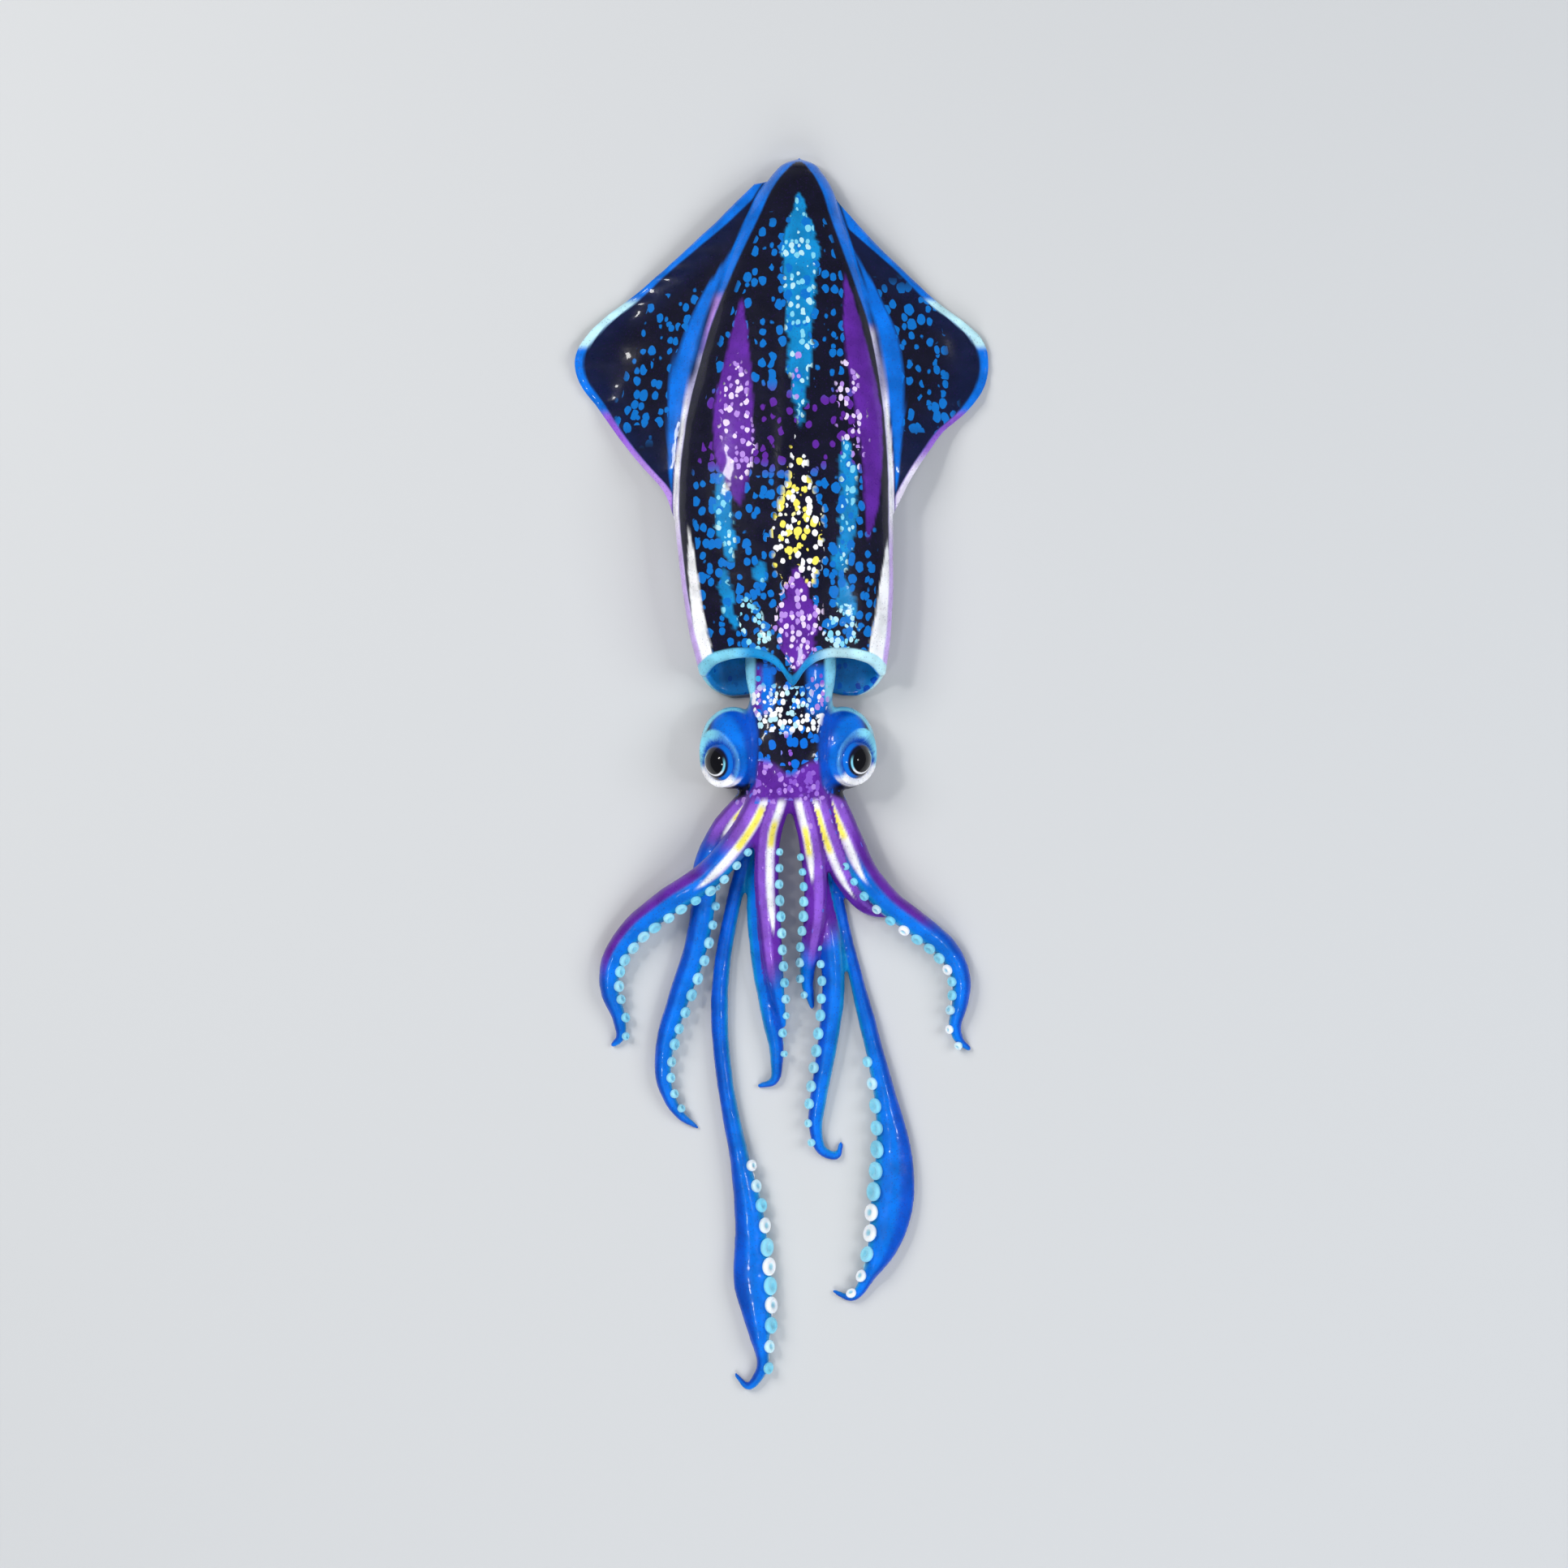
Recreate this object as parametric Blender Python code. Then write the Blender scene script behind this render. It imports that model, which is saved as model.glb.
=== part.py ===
"""A whole raw squid that lies on its belly, seen from its back.

The tail points to +Y and the arms to -Y. The mantle with its two fins is one solid, open at the
front round the neck. The head, its funnel, the eight arms and the two feeding tentacles are one
solid too, because they are one piece of flesh, and each eyeball sits in a socket of the head.
"""

import math

import bmesh
import bpy
import numpy as np
from mathutils import Matrix, Vector

# The sizes below are in millimetres, and the scene is in metres.
MM = 0.001
CLEARANCE = 0.3

# Mantle: stations run from the tail tip (0) to the front edge, as (distance, value).
MANTLE_LENGTH = 200.0
TAIL_Y = 236.8
MANTLE_HALF_WIDTH = (
    (0, 0), (2.5, 5.6), (6, 9.0), (13, 13.6), (23, 17.6), (35, 22.0), (48, 26.3), (63, 30.6),
    (77, 34.0), (90, 36.8), (104, 39.1), (122, 41.0), (140, 41.5), (155, 40.9), (171, 39.8),
    (185, 38.3), (200, 35.6),
)
MANTLE_AXIS_X = ((0, 7.0), (35, 4.5), (77, 2.9), (104, 1.6), (140, 1.1), (171, 2.8), (200, 4.4))
WIDEST_HALF = 41.5
BACK_RISE = 20.0
BELLY_DROP = 14.6
BELLY_SINK = 0.7
FLATNESS_POWER = 0.75
BACK_SQUARENESS = 2.15
BELLY_SQUARENESS = 3.0

# Fins: the outer edge of each, as (distance from the tail tip, x).
LEFT_FIN_EDGE = (
    (9.9, -9.5), (29.5, -29.6), (50.2, -52.9), (66.7, -73.6), (72.2, -77.5), (79.4, -79.2),
    (86.2, -77.4), (95.8, -70.4), (107, -62.8), (119.4, -52.9), (129, -44.8), (140, -40.4),
)
RIGHT_FIN_EDGE = (
    (12.5, 17.5), (27.9, 30.6), (37.8, 40.2), (47.4, 50.9), (57, 62.0), (64.2, 71.5), (71, 77.8),
    (79.4, 79.6), (90.2, 77.0), (98.6, 70.2), (105.4, 62.4), (113.8, 56.3), (125, 49.4),
    (138, 42.6),
)
FIN_ROOT_THICKNESS = 5.0
FIN_EDGE_THICKNESS = 1.6
FIN_THINNING = 10.0
FIN_EDGE_ROUNDING = 1.5
FIN_ROOT_LIFT = 2.0
FIN_REST_Z = 1.2
FIN_DROOP_LENGTH = 34.0
FIN_RIPPLE = 2.2
FIN_RIPPLE_PITCH = 31.0
FIN_FILLET = 4.0

# The front edge of the mantle, as (share of the half width, distance from the tail tip).
BACK_EDGE = (
    (0, 202.4), (0.04, 201.2), (0.12, 196.9), (0.22, 193.9), (0.37, 191.9), (0.52, 191.6),
    (0.74, 192.5), (0.9, 194.6), (1.0, 198.0),
)
BELLY_EDGE = ((0, 199.0), (0.3, 202.6), (0.6, 205.2), (0.8, 204.6), (0.92, 201.8), (1.0, 198.0))
EDGE_SHAPING_START = 168.0
MANTLE_WALL = 3.6
CAVITY_DEPTH = 24.0

# Head: (y, x, half width, middle height, half height) from the neck's end to the arm crown.
HEAD_SECTIONS = (
    (58.5, 3.9, 14.4, 15.6, 7.8), (51, 3.8, 16.8, 15.2, 9.2), (42, 3.7, 17.4, 14.9, 9.8),
    (34, 3.7, 16.6, 14.4, 9.8), (29, 3.8, 15.7, 13.8, 9.8), (22, 3.4, 17.4, 13.8, 10.6),
    (12, 3.0, 19.6, 13.4, 12.4), (2, 3.0, 18.4, 12.8, 12.8), (-4, 3.2, 15.6, 12.2, 11.8),
    (-10, 3.4, 11.0, 11.6, 8.8), (-13, 3.5, 5.5, 11.4, 4.6),
)
NECK_BELLY = 0.0
EYE_BULGE_CENTRES = ((-18.4, 10.0, 12.8), (23.6, 10.0, 12.8))
EYE_BULGE_SEMI_AXES = (12.6, 15.9, 11.4)
EYEBALL_CENTRES = ((-20.6, 5.2, 16.6), (25.9, 6.0, 16.6))
EYEBALL_RADIUS = 8.6
EYELID_RADIUS = 10.3
EYE_OPENING_RADIUS = 7.6
EYE_OPENING_LENGTH = 16.0
EYE_UPWARD_TILT = math.radians(50)
EYE_FORWARD_TURN = math.radians(10)
# Funnel: (x, y, z, half width, half thickness) under the head, from the mantle's edge forwards.
FUNNEL_PATH = (
    (3.4, 33, 5.0, 6.4, 3.2), (3.3, 28, 4.4, 6.8, 3.2), (3.2, 22, 3.8, 6.0, 3.2),
    (3.2, 16, 3.2, 4.4, 3.0),
)

# Limbs, each from the head to its tip: the plan route, the height of its middle above the surface
# as (share of the length, height), and the half width of an arm's base. A limb rests on the
# surface where its height is less than half its thickness.
ARMS = {
    "arm_one_left": (
        ((-0.2, -0.3), (-0.8, -9), (-4.6, -22), (-5.6, -38), (-4.4, -57), (-2.3, -78), (1.1, -97.5)),
        ((0, 18.5), (0.2, 16.4), (0.4, 12.8), (0.65, 10.6), (0.85, 8.8), (1, 5.4)),
        4.7,
    ),
    "arm_one_right": (
        ((7, -0.3), (7.6, -9), (11, -24), (13, -40), (12.8, -54), (10.9, -68), (10.1, -80),
         (12.1, -90.5)),
        ((0, 18.5), (0.2, 16.4), (0.4, 13), (0.6, 9.6), (0.78, 4.4), (0.9, 0)),
        4.5,
    ),
    "arm_two_left": (
        ((-5.1, -0.3), (-8.4, -12), (-16.5, -25.6), (-28, -38.4), (-44.8, -49.8), (-58.2, -61.2),
         (-65.4, -73.5), (-65.6, -84), (-62.2, -94), (-62, -101.5), (-65.8, -104.8)),
        ((0, 16.5), (0.15, 16), (0.3, 13.8), (0.42, 11.6), (0.6, 4.8), (0.7, 0)),
        5.4,
    ),
    "arm_two_right": (
        ((11.6, -0.3), (14.2, -11), (18.8, -26), (25.9, -42.2), (33.5, -51.4), (40.8, -54.6)),
        ((0, 16.5), (0.2, 15), (0.45, 11.6), (0.65, 7.2), (0.85, 2.4), (1, 0)),
        4.8,
    ),
    "arm_three_left": (
        ((-7, -0.3), (-12.6, -9.5), (-22.5, -21.5), (-28.6, -34), (-29.8, -50), (-33.2, -68),
         (-39.6, -87), (-44.6, -104), (-44.8, -119), (-38.6, -131), (-31.8, -136)),
        ((0, 11), (0.08, 10.2), (0.2, 5.4), (0.32, 0)),
        4.6,
    ),
    "arm_three_right": (
        ((14.1, -0.3), (18.8, -9), (25.6, -24), (32.7, -39.1), (40.5, -48.4), (52.4, -57.6),
         (63.6, -67.2), (69, -77.6), (68.4, -89), (66.8, -97), (68.4, -102), (73.3, -106.3)),
        ((0, 12.5), (0.25, 10.8), (0.5, 8), (0.65, 5), (0.8, 0)),
        5.1,
    ),
    "arm_four_left": (
        ((-1.4, -0.3), (-5, -14), (-7.9, -33), (-8.6, -54), (-7.2, -72), (-4.2, -92),
         (-1.7, -108.8), (-3, -118), (-9.5, -120)),
        ((0, 6), (0.1, 5), (0.2, 0)),
        4.5,
    ),
    "arm_four_right": (
        ((8.5, -0.3), (11.2, -20), (14, -42), (19, -65.4), (20, -82), (17.6, -105), (14.2, -125),
         (13.3, -136.5), (16.2, -145), (21.6, -146.4), (23.1, -141.4)),
        ((0, 6), (0.08, 5), (0.16, 0)),
        4.5,
    ),
}
# A tentacle's last entry is its half width as (share of the length, half width).
TENTACLES = {
    "tentacle_left": (
        ((-3.9, -0.3), (-10.7, -22), (-18.4, -49.9), (-22.8, -74.7), (-23.7, -92), (-21.5, -118),
         (-15.7, -149), (-11.9, -172), (-11.1, -193), (-8.3, -215), (-8, -230), (-12.6, -235.2),
         (-18.1, -230)),
        ((0, 8), (0.05, 6.8), (0.12, 3.6), (0.18, 0)),
        ((0, 4.4), (0.15, 3.0), (0.35, 3.3), (0.6, 3.8), (0.74, 6.4), (0.8, 7.2), (0.86, 5.2),
         (0.91, 2.7), (0.96, 1.8), (1, 0.7)),
    ),
    "tentacle_right": (
        ((11.6, -0.3), (18.1, -22), (21.9, -48.4), (27.7, -73.8), (33.6, -97.3), (39.6, -122),
         (43, -143), (43, -161), (40.2, -177), (34.4, -191), (26.5, -201), (19.7, -198.4)),
        ((0, 8), (0.05, 6.8), (0.12, 3.6), (0.18, 0)),
        ((0, 4.4), (0.2, 2.4), (0.45, 3.2), (0.58, 4.2), (0.72, 7.6), (0.78, 8.3), (0.86, 5.8),
         (0.91, 3.0), (0.96, 1.7), (1, 0.7)),
    ),
}
THICKEST_TENTACLE = 3.7
ARM_TIP = 0.7

# Suckers: limb, the side of it that carries them (+1 is the viewer's right on a limb that runs
# down the picture), first and last share of its length, how many, and the largest's radius.
SUCKER_ROWS = (
    ("arm_one_left", 1, 0.30, 0.95, 11, 1.7),
    ("arm_one_right", -1, 0.34, 0.93, 10, 1.6),
    ("arm_two_left", 1, 0.22, 0.95, 16, 1.9),
    ("arm_three_left", 1, 0.33, 0.93, 14, 1.8),
    ("arm_three_right", -1, 0.28, 0.96, 15, 1.8),
    ("arm_four_left", 1, 0.68, 0.86, 4, 1.6),
    ("arm_four_right", -1, 0.42, 0.90, 12, 1.8),
    ("tentacle_left", 1, 0.62, 0.93, 11, 2.7),
    ("tentacle_right", -1, 0.52, 0.96, 12, 2.7),
)
SUCKER_TILT = math.radians(24)
SUCKER_HEIGHT = 2.9
SUCKER_SIDES = 6

# How finely the faceted solids are cut.
BACK_POINTS = 6
FIN_POINTS = 4
MANTLE_STEP = 5.6
HEAD_POINTS = 20
LIMB_POINTS = 8
LIMB_STEP = 6.4
THIN_STEP = 2.6
LIMB_SAMPLES = 400
BULGE_SEGMENTS, BULGE_RINGS = 16, 10
EYEBALL_SEGMENTS, EYEBALL_RINGS = 16, 10


def smooth(stations, at):
    """The value at a place, on the smooth curve through (place, value) stations."""
    place, value = np.array(stations, float).T
    slope = np.gradient(value, place)
    at = np.clip(np.asarray(at, float), place[0], place[-1])
    low = np.clip(np.searchsorted(place, at, side="right") - 1, 0, len(place) - 2)
    span = place[low + 1] - place[low]
    t = (at - place[low]) / span
    return (
        (1 + 2 * t) * (1 - t) ** 2 * value[low]
        + t * (1 - t) ** 2 * span * slope[low]
        + t * t * (3 - 2 * t) * value[low + 1]
        + t * t * (t - 1) * span * slope[low + 1]
    )


def ease(t):
    """A smooth step from 0 to 1."""
    t = np.clip(t, 0, 1)
    return t * t * (3 - 2 * t)


def blend_up(a, b, reach):
    """The higher of a and b, rounded where they meet."""
    near = np.maximum(reach - np.abs(a - b), 0) / np.maximum(reach, 1e-6)
    return np.maximum(a, b) + near * near * reach / 4


def new_object(name, bm, collection):
    """An object of the collection that holds the bmesh, which is given in millimetres."""
    bmesh.ops.recalc_face_normals(bm, faces=bm.faces)
    bmesh.ops.scale(bm, vec=(MM, MM, MM), verts=bm.verts)
    mesh = bpy.data.meshes.new(name)
    bm.to_mesh(mesh)
    bm.free()
    made = bpy.data.objects.new(name, mesh)
    collection.objects.link(made)
    return made


def loft(name, rings, start, end, collection):
    """A closed solid through rings of equal count, closed to the points start and end."""
    bm = bmesh.new()
    made = [[bm.verts.new(point) for point in ring] for ring in rings]
    count = len(made[0])
    for ring, following in zip(made, made[1:]):
        for i in range(count):
            j = (i + 1) % count
            bm.faces.new((ring[i], ring[j], following[j], following[i]))
    for ring, tip in ((made[0], start), (made[-1], end)):
        pole = bm.verts.new(tip)
        for i in range(count):
            bm.faces.new((ring[i], ring[(i + 1) % count], pole))
    return new_object(name, bm, collection)


def limb_path(name):
    """Rows of x, y, z, half width and half thickness along a limb, close together."""
    plan, height, width = (ARMS | TENTACLES)[name]
    plan = np.array(plan, float)
    place = np.concatenate(([0], np.cumsum(np.linalg.norm(np.diff(plan, axis=0), axis=1))))
    share = np.linspace(0, 1, LIMB_SAMPLES)
    at = share * place[-1]
    x = smooth(np.stack((place, plan[:, 0]), axis=1), at)
    y = smooth(np.stack((place, plan[:, 1]), axis=1), at)
    if name in TENTACLES:
        half = smooth(width, share)
        rise = np.minimum(half, THICKEST_TENTACLE)
    else:
        half = width * (1 - share**3) ** 0.75 + ARM_TIP * share
        rise = half
    z = np.maximum(smooth(height, share), rise)
    return np.stack((x, y, z, half, rise), axis=1)


def thin_out(path, step):
    """The rows of a path that are about a step apart, and closer where the limb is thin."""
    gaps = np.linalg.norm(np.diff(path[:, :3], axis=0), axis=1)
    wanted = np.clip(2.4 * path[1:, 3], min(step, THIN_STEP), step)
    place = np.concatenate(([0], np.cumsum(gaps / wanted)))
    marks = np.linspace(0, place[-1], max(4, round(place[-1]) + 1))
    return np.stack([np.interp(marks, place, column) for column in path.T], axis=1)


def directions(path):
    """The unit direction along the path at each point, and the level one to its left as it runs.

    On a limb that runs towards -Y, the level direction is +X.
    """
    along = np.gradient(path[:, :3], axis=0)
    along /= np.linalg.norm(along, axis=1)[:, None]
    across = np.cross(np.array((0.0, 0.0, 1.0)), along)
    across /= np.linalg.norm(across, axis=1)[:, None]
    return along, across


def fin_reach(distance, side, half, axis):
    """How far the mantle with its fin reaches to one side of the axis."""
    edge = LEFT_FIN_EDGE if side < 0 else RIGHT_FIN_EDGE
    if not edge[0][0] < distance < edge[-1][0]:
        return half
    return max(half, side * (float(smooth(edge, distance)) - axis))


def mantle_profile(distance, side, wall=0.0):
    """Offsets from the axis on one side, with the heights of the back and of the belly there."""
    half = float(smooth(MANTLE_HALF_WIDTH, distance))
    axis = float(smooth(MANTLE_AXIS_X, distance))
    reach = fin_reach(distance, side, half, axis)
    size = (half / WIDEST_HALF) ** FLATNESS_POWER
    rise, drop = BACK_RISE * size, BELLY_DROP * size
    middle = max(drop - BELLY_SINK, 0.6 * drop)
    fin = reach - half
    half, rise, drop, reach = half - wall, rise - wall, drop - wall, reach - wall
    root = 0.97 * half
    on_back = root * np.sin(np.linspace(0, math.pi / 2, BACK_POINTS + 1))
    on_fin = root + (reach - root) * np.sin(np.linspace(0, math.pi / 2, FIN_POINTS + 1)[1:])
    offset = np.concatenate((on_back, on_fin))
    share = np.minimum(offset / half, 1)
    past = np.maximum(offset - half, 0)
    back = middle + rise * (1 - share**BACK_SQUARENESS) ** (1 / BACK_SQUARENESS) - 2 * past
    belly = middle - drop * (1 - share**BELLY_SQUARENESS) ** (1 / BELLY_SQUARENESS) + 2 * past
    if fin > 0:
        grown = ease(fin / 12)
        root_z = middle + FIN_ROOT_LIFT * grown
        wave = 0.5 + 0.5 * math.sin(2 * math.pi * distance / FIN_RIPPLE_PITCH + side)
        rest_z = FIN_REST_Z + wave * FIN_RIPPLE * ease(past / FIN_DROOP_LENGTH)
        level = root_z + (rest_z - root_z) * ease(past / FIN_DROOP_LENGTH)
        thick = FIN_EDGE_THICKNESS + (FIN_ROOT_THICKNESS - FIN_EDGE_THICKNESS) * np.exp(
            -past / FIN_THINNING
        )
        thick *= grown * np.sqrt(np.clip((reach - offset) / FIN_EDGE_ROUNDING, 0, 1))
        fillet = min(FIN_FILLET, 1.5 * fin)
        back = blend_up(back, level + thick / 2, fillet)
        belly = -blend_up(-belly, -(level - thick / 2), fillet)
    belly = np.maximum(belly, wall)
    back = np.maximum(back, belly)
    return axis + side * offset, back, belly


def mantle_ring(distance, wall=0.0, shift=0.0):
    """One ring round the mantle and its fins, bent near the front to the mantle's edge."""
    left_x, left_back, left_belly = mantle_profile(distance, -1, wall)
    right_x, right_back, right_belly = mantle_profile(distance, 1, wall)
    edge_share = np.linspace(0, 1, BACK_POINTS + 1)
    share = np.concatenate((0.97 * np.sin(edge_share * math.pi / 2), np.linspace(0.98, 1, FIN_POINTS)))
    shaping = ease((distance - EDGE_SHAPING_START) / (MANTLE_LENGTH - EDGE_SHAPING_START))
    on_back = distance + (smooth(BACK_EDGE, share) - MANTLE_LENGTH) * shaping + shift
    on_belly = distance + (smooth(BELLY_EDGE, share) - MANTLE_LENGTH) * shaping + shift
    last = len(share) - 1
    ring = []
    for i in range(last, 0, -1):
        ring.append((left_x[i], TAIL_Y - on_back[i], left_back[i]))
    for i in range(0, last + 1):
        ring.append((right_x[i], TAIL_Y - on_back[i], right_back[i]))
    for i in range(last - 1, -1, -1):
        ring.append((right_x[i], TAIL_Y - on_belly[i], right_belly[i]))
    for i in range(1, last):
        ring.append((left_x[i], TAIL_Y - on_belly[i], left_belly[i]))
    return ring


def make_mantle(collection):
    """The mantle and its fins, with the hollow at the front that the neck goes into."""
    distances = np.concatenate(([0.7, 2.6, 5.6], np.arange(10.6, MANTLE_LENGTH - 2, MANTLE_STEP)))
    outside = [mantle_ring(distance) for distance in distances]
    lip = [
        mantle_ring(MANTLE_LENGTH),
        mantle_ring(MANTLE_LENGTH, MANTLE_WALL / 2, 0.8),
        mantle_ring(MANTLE_LENGTH, MANTLE_WALL, -0.6),
    ]
    depths = np.linspace(0, CAVITY_DEPTH, 5)[1:]
    inside = [mantle_ring(MANTLE_LENGTH - depth, MANTLE_WALL) for depth in depths]
    tail = (MANTLE_AXIS_X[0][1], TAIL_Y, 1.6)
    floor_y = TAIL_Y - MANTLE_LENGTH + CAVITY_DEPTH + 1.5
    floor = (float(smooth(MANTLE_AXIS_X, MANTLE_LENGTH - CAVITY_DEPTH)), floor_y, 14.0)
    return loft("mantle", outside + lip + inside, tail, floor, collection)


def make_head_body(collection):
    """The neck and the head, as far as the crown that the arms spring from."""
    turns = np.linspace(0, 2 * math.pi, HEAD_POINTS, endpoint=False)
    rings = []
    for y, x, half, middle, rise in HEAD_SECTIONS:
        lowest = max(NECK_BELLY, middle - rise)
        ring = [
            (x + half * math.cos(turn), y, max(lowest, middle + rise * math.sin(turn)))
            for turn in turns
        ]
        rings.append(ring)
    first, last = HEAD_SECTIONS[0], HEAD_SECTIONS[-1]
    start = (first[1], first[0] + 1.0, first[3])
    end = (last[1], last[0] - 1.0, last[3])
    return loft("head", rings, start, end, collection)


def make_limb(name, path, collection):
    """A tapered limb along its path, level across."""
    along, across = directions(path)
    upward = np.cross(along, across)
    turns = np.linspace(0, 2 * math.pi, LIMB_POINTS, endpoint=False)
    rings = []
    for point, side, up in zip(path, across, upward):
        half, rise = point[3:]
        ring = [
            point[:3] + side * half * math.cos(turn) + up * rise * math.sin(turn)
            for turn in turns
        ]
        rings.append([(p[0], p[1], max(p[2], 0.0)) for p in ring])
    start = path[0, :3] - along[0] * 0.5
    end = path[-1, :3] + along[-1] * path[-1, 3]
    return loft(name, rings, start, end, collection)


def make_suckers(limb, side, first, last, count, largest, collection):
    """The row of suckers that shows along one side of a limb."""
    path = limb_path(limb)
    _, across = directions(path)
    for n, share in enumerate(np.linspace(first, last, count)):
        i = round(share * (len(path) - 1))
        half, rise = path[i, 3:]
        outward = Vector(across[i] * side)
        facing = outward * math.cos(SUCKER_TILT) + Vector((0, 0, math.sin(SUCKER_TILT)))
        seat = Vector(path[i, :3]) + outward * (0.86 * half - 0.8)
        seat.z += 0.25 * rise
        radius = largest * (0.45 + 0.55 * math.sin(math.pi * (0.12 + 0.76 * n / (count - 1))))
        radius = min(radius, 0.75 * half + 0.3)
        bm = bmesh.new()
        turned = facing.to_track_quat("Z", "Y").to_matrix().to_4x4()
        place = Matrix.Translation(seat + facing * SUCKER_HEIGHT / 2) @ turned
        bmesh.ops.create_cone(
            bm, cap_ends=True, segments=SUCKER_SIDES, radius1=0.7 * radius, radius2=radius,
            depth=SUCKER_HEIGHT, matrix=place,
        )
        new_object(f"{limb}_sucker_{n + 1}", bm, collection)


def make_ball(name, centre, semi_axes, segments, rings, collection):
    """An ellipsoid from a UV sphere."""
    bm = bmesh.new()
    place = Matrix.Translation(centre) @ Matrix.Diagonal((*semi_axes, 1))
    bmesh.ops.create_uvsphere(bm, u_segments=segments, v_segments=rings, radius=1, matrix=place)
    return new_object(name, bm, collection)


def eye_direction(side):
    """Where an eye looks: outwards, upwards and a little forwards."""
    level = math.cos(EYE_UPWARD_TILT)
    return Vector((
        side * level * math.cos(EYE_FORWARD_TURN),
        -level * math.sin(EYE_FORWARD_TURN),
        math.sin(EYE_UPWARD_TILT),
    ))


def make_eye_cutter(name, centre, side, collection):
    """What is cut out of the head for an eyeball: its socket and the opening in the lid."""
    radius = EYEBALL_RADIUS + CLEARANCE + 0.1
    socket = make_ball(
        f"{name}_socket", centre, (radius,) * 3, EYEBALL_SEGMENTS, EYEBALL_RINGS, collection
    )
    bm = bmesh.new()
    direction = eye_direction(side)
    turned = direction.to_track_quat("Z", "Y").to_matrix().to_4x4()
    middle = Vector(centre) + direction * EYE_OPENING_LENGTH / 2
    bmesh.ops.create_cone(
        bm, cap_ends=True, segments=EYEBALL_SEGMENTS, radius1=EYE_OPENING_RADIUS,
        radius2=EYE_OPENING_RADIUS, depth=EYE_OPENING_LENGTH,
        matrix=Matrix.Translation(middle) @ turned,
    )
    opening = new_object(f"{name}_opening", bm, collection)
    for cutter in (socket, opening):
        cutter.hide_render = True
        cutter.display_type = "WIRE"
    return socket, opening


def apply_modifiers(target):
    """Replaces the object's mesh by its evaluated one, and drops its modifiers."""
    graph = bpy.context.evaluated_depsgraph_get()
    made = bpy.data.meshes.new_from_object(target.evaluated_get(graph))
    target.modifiers.clear()
    target.data = made


def join_collection(target, collection):
    """Unites the target with every object of the collection, which are then removed."""
    union = target.modifiers.new("join", "BOOLEAN")
    union.operation = "UNION"
    union.operand_type = "COLLECTION"
    union.collection = collection
    apply_modifiers(target)
    for used in list(collection.objects):
        bpy.data.objects.remove(used)


def make_head(collection, pieces, cutters):
    """The head, funnel, arms, tentacles and suckers as one solid, with a socket for each eye."""
    head = make_head_body(collection)
    for name, centre in zip(("left", "right"), EYE_BULGE_CENTRES):
        make_ball(
            f"bulge_{name}", centre, EYE_BULGE_SEMI_AXES, BULGE_SEGMENTS, BULGE_RINGS, pieces
        )
    for name, centre in zip(("left", "right"), EYEBALL_CENTRES):
        make_ball(f"lid_{name}", centre, (EYELID_RADIUS,) * 3, BULGE_SEGMENTS, BULGE_RINGS, pieces)
    make_limb("funnel", np.array(FUNNEL_PATH, float), pieces)
    for limb in ARMS | TENTACLES:
        make_limb(limb, thin_out(limb_path(limb), LIMB_STEP), pieces)
    for row in SUCKER_ROWS:
        make_suckers(*row, pieces)
    join_collection(head, pieces)
    for name, centre, side in zip(("left", "right"), EYEBALL_CENTRES, (-1, 1)):
        for cutter in make_eye_cutter(name, centre, side, cutters):
            cut = head.modifiers.new(f"cut {cutter.name}", "BOOLEAN")
            cut.operation = "DIFFERENCE"
            cut.object = cutter
    return head


def flesh_material(name, colour, roughness):
    """A plain finish with the sub-part's colour."""
    material = bpy.data.materials.new(name)
    material.use_nodes = True
    shader = material.node_tree.nodes["Principled BSDF"]
    shader.inputs["Base Color"].default_value = (*colour, 1)
    shader.inputs["Roughness"].default_value = roughness
    shader.inputs["Metallic"].default_value = 0.0
    return material


def finish(made, material):
    """Gives the object its material and smooth shading."""
    made.data.materials.clear()
    made.data.materials.append(material)
    made.data.shade_smooth()


def new_collection(name):
    """A collection of the scene."""
    made = bpy.data.collections.new(name)
    bpy.context.scene.collection.children.link(made)
    return made


def main():
    """Clears the scene and builds the squid."""
    for old in list(bpy.data.objects):
        bpy.data.objects.remove(old)
    squid = new_collection("squid")
    pieces = new_collection("pieces")
    cutters = new_collection("cutters")
    mantle = make_mantle(squid)
    head = make_head(squid, pieces, cutters)
    skin = flesh_material("mantle_skin", (0.20, 0.17, 0.42), 0.3)
    arm_skin = flesh_material("arm_skin", (0.16, 0.30, 0.62), 0.3)
    eye_finish = flesh_material("eye", (0.05, 0.08, 0.14), 0.1)
    finish(mantle, skin)
    finish(head, arm_skin)
    for name, centre in zip(("eye_left", "eye_right"), EYEBALL_CENTRES):
        eye = make_ball(
            name, centre, (EYEBALL_RADIUS,) * 3, EYEBALL_SEGMENTS, EYEBALL_RINGS, squid
        )
        finish(eye, eye_finish)


main()
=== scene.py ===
"""The looks of a whole raw squid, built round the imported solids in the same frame.

The mantle with its fins is one lofted skin. The head, funnel, arms and tentacles are lofted one
by one, fused by a voxel remesh and shaped round the eyes. The suckers and the eyeballs are pieces
of their own. Colours are laid on the vertices by region, and the shaders add the spots.
"""

import logging
import math
from collections.abc import Sequence
from dataclasses import dataclass, field
from enum import Enum

import bmesh
import bpy
import numpy as np
from mathutils import Matrix, Vector
from mathutils.kdtree import KDTree


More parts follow.
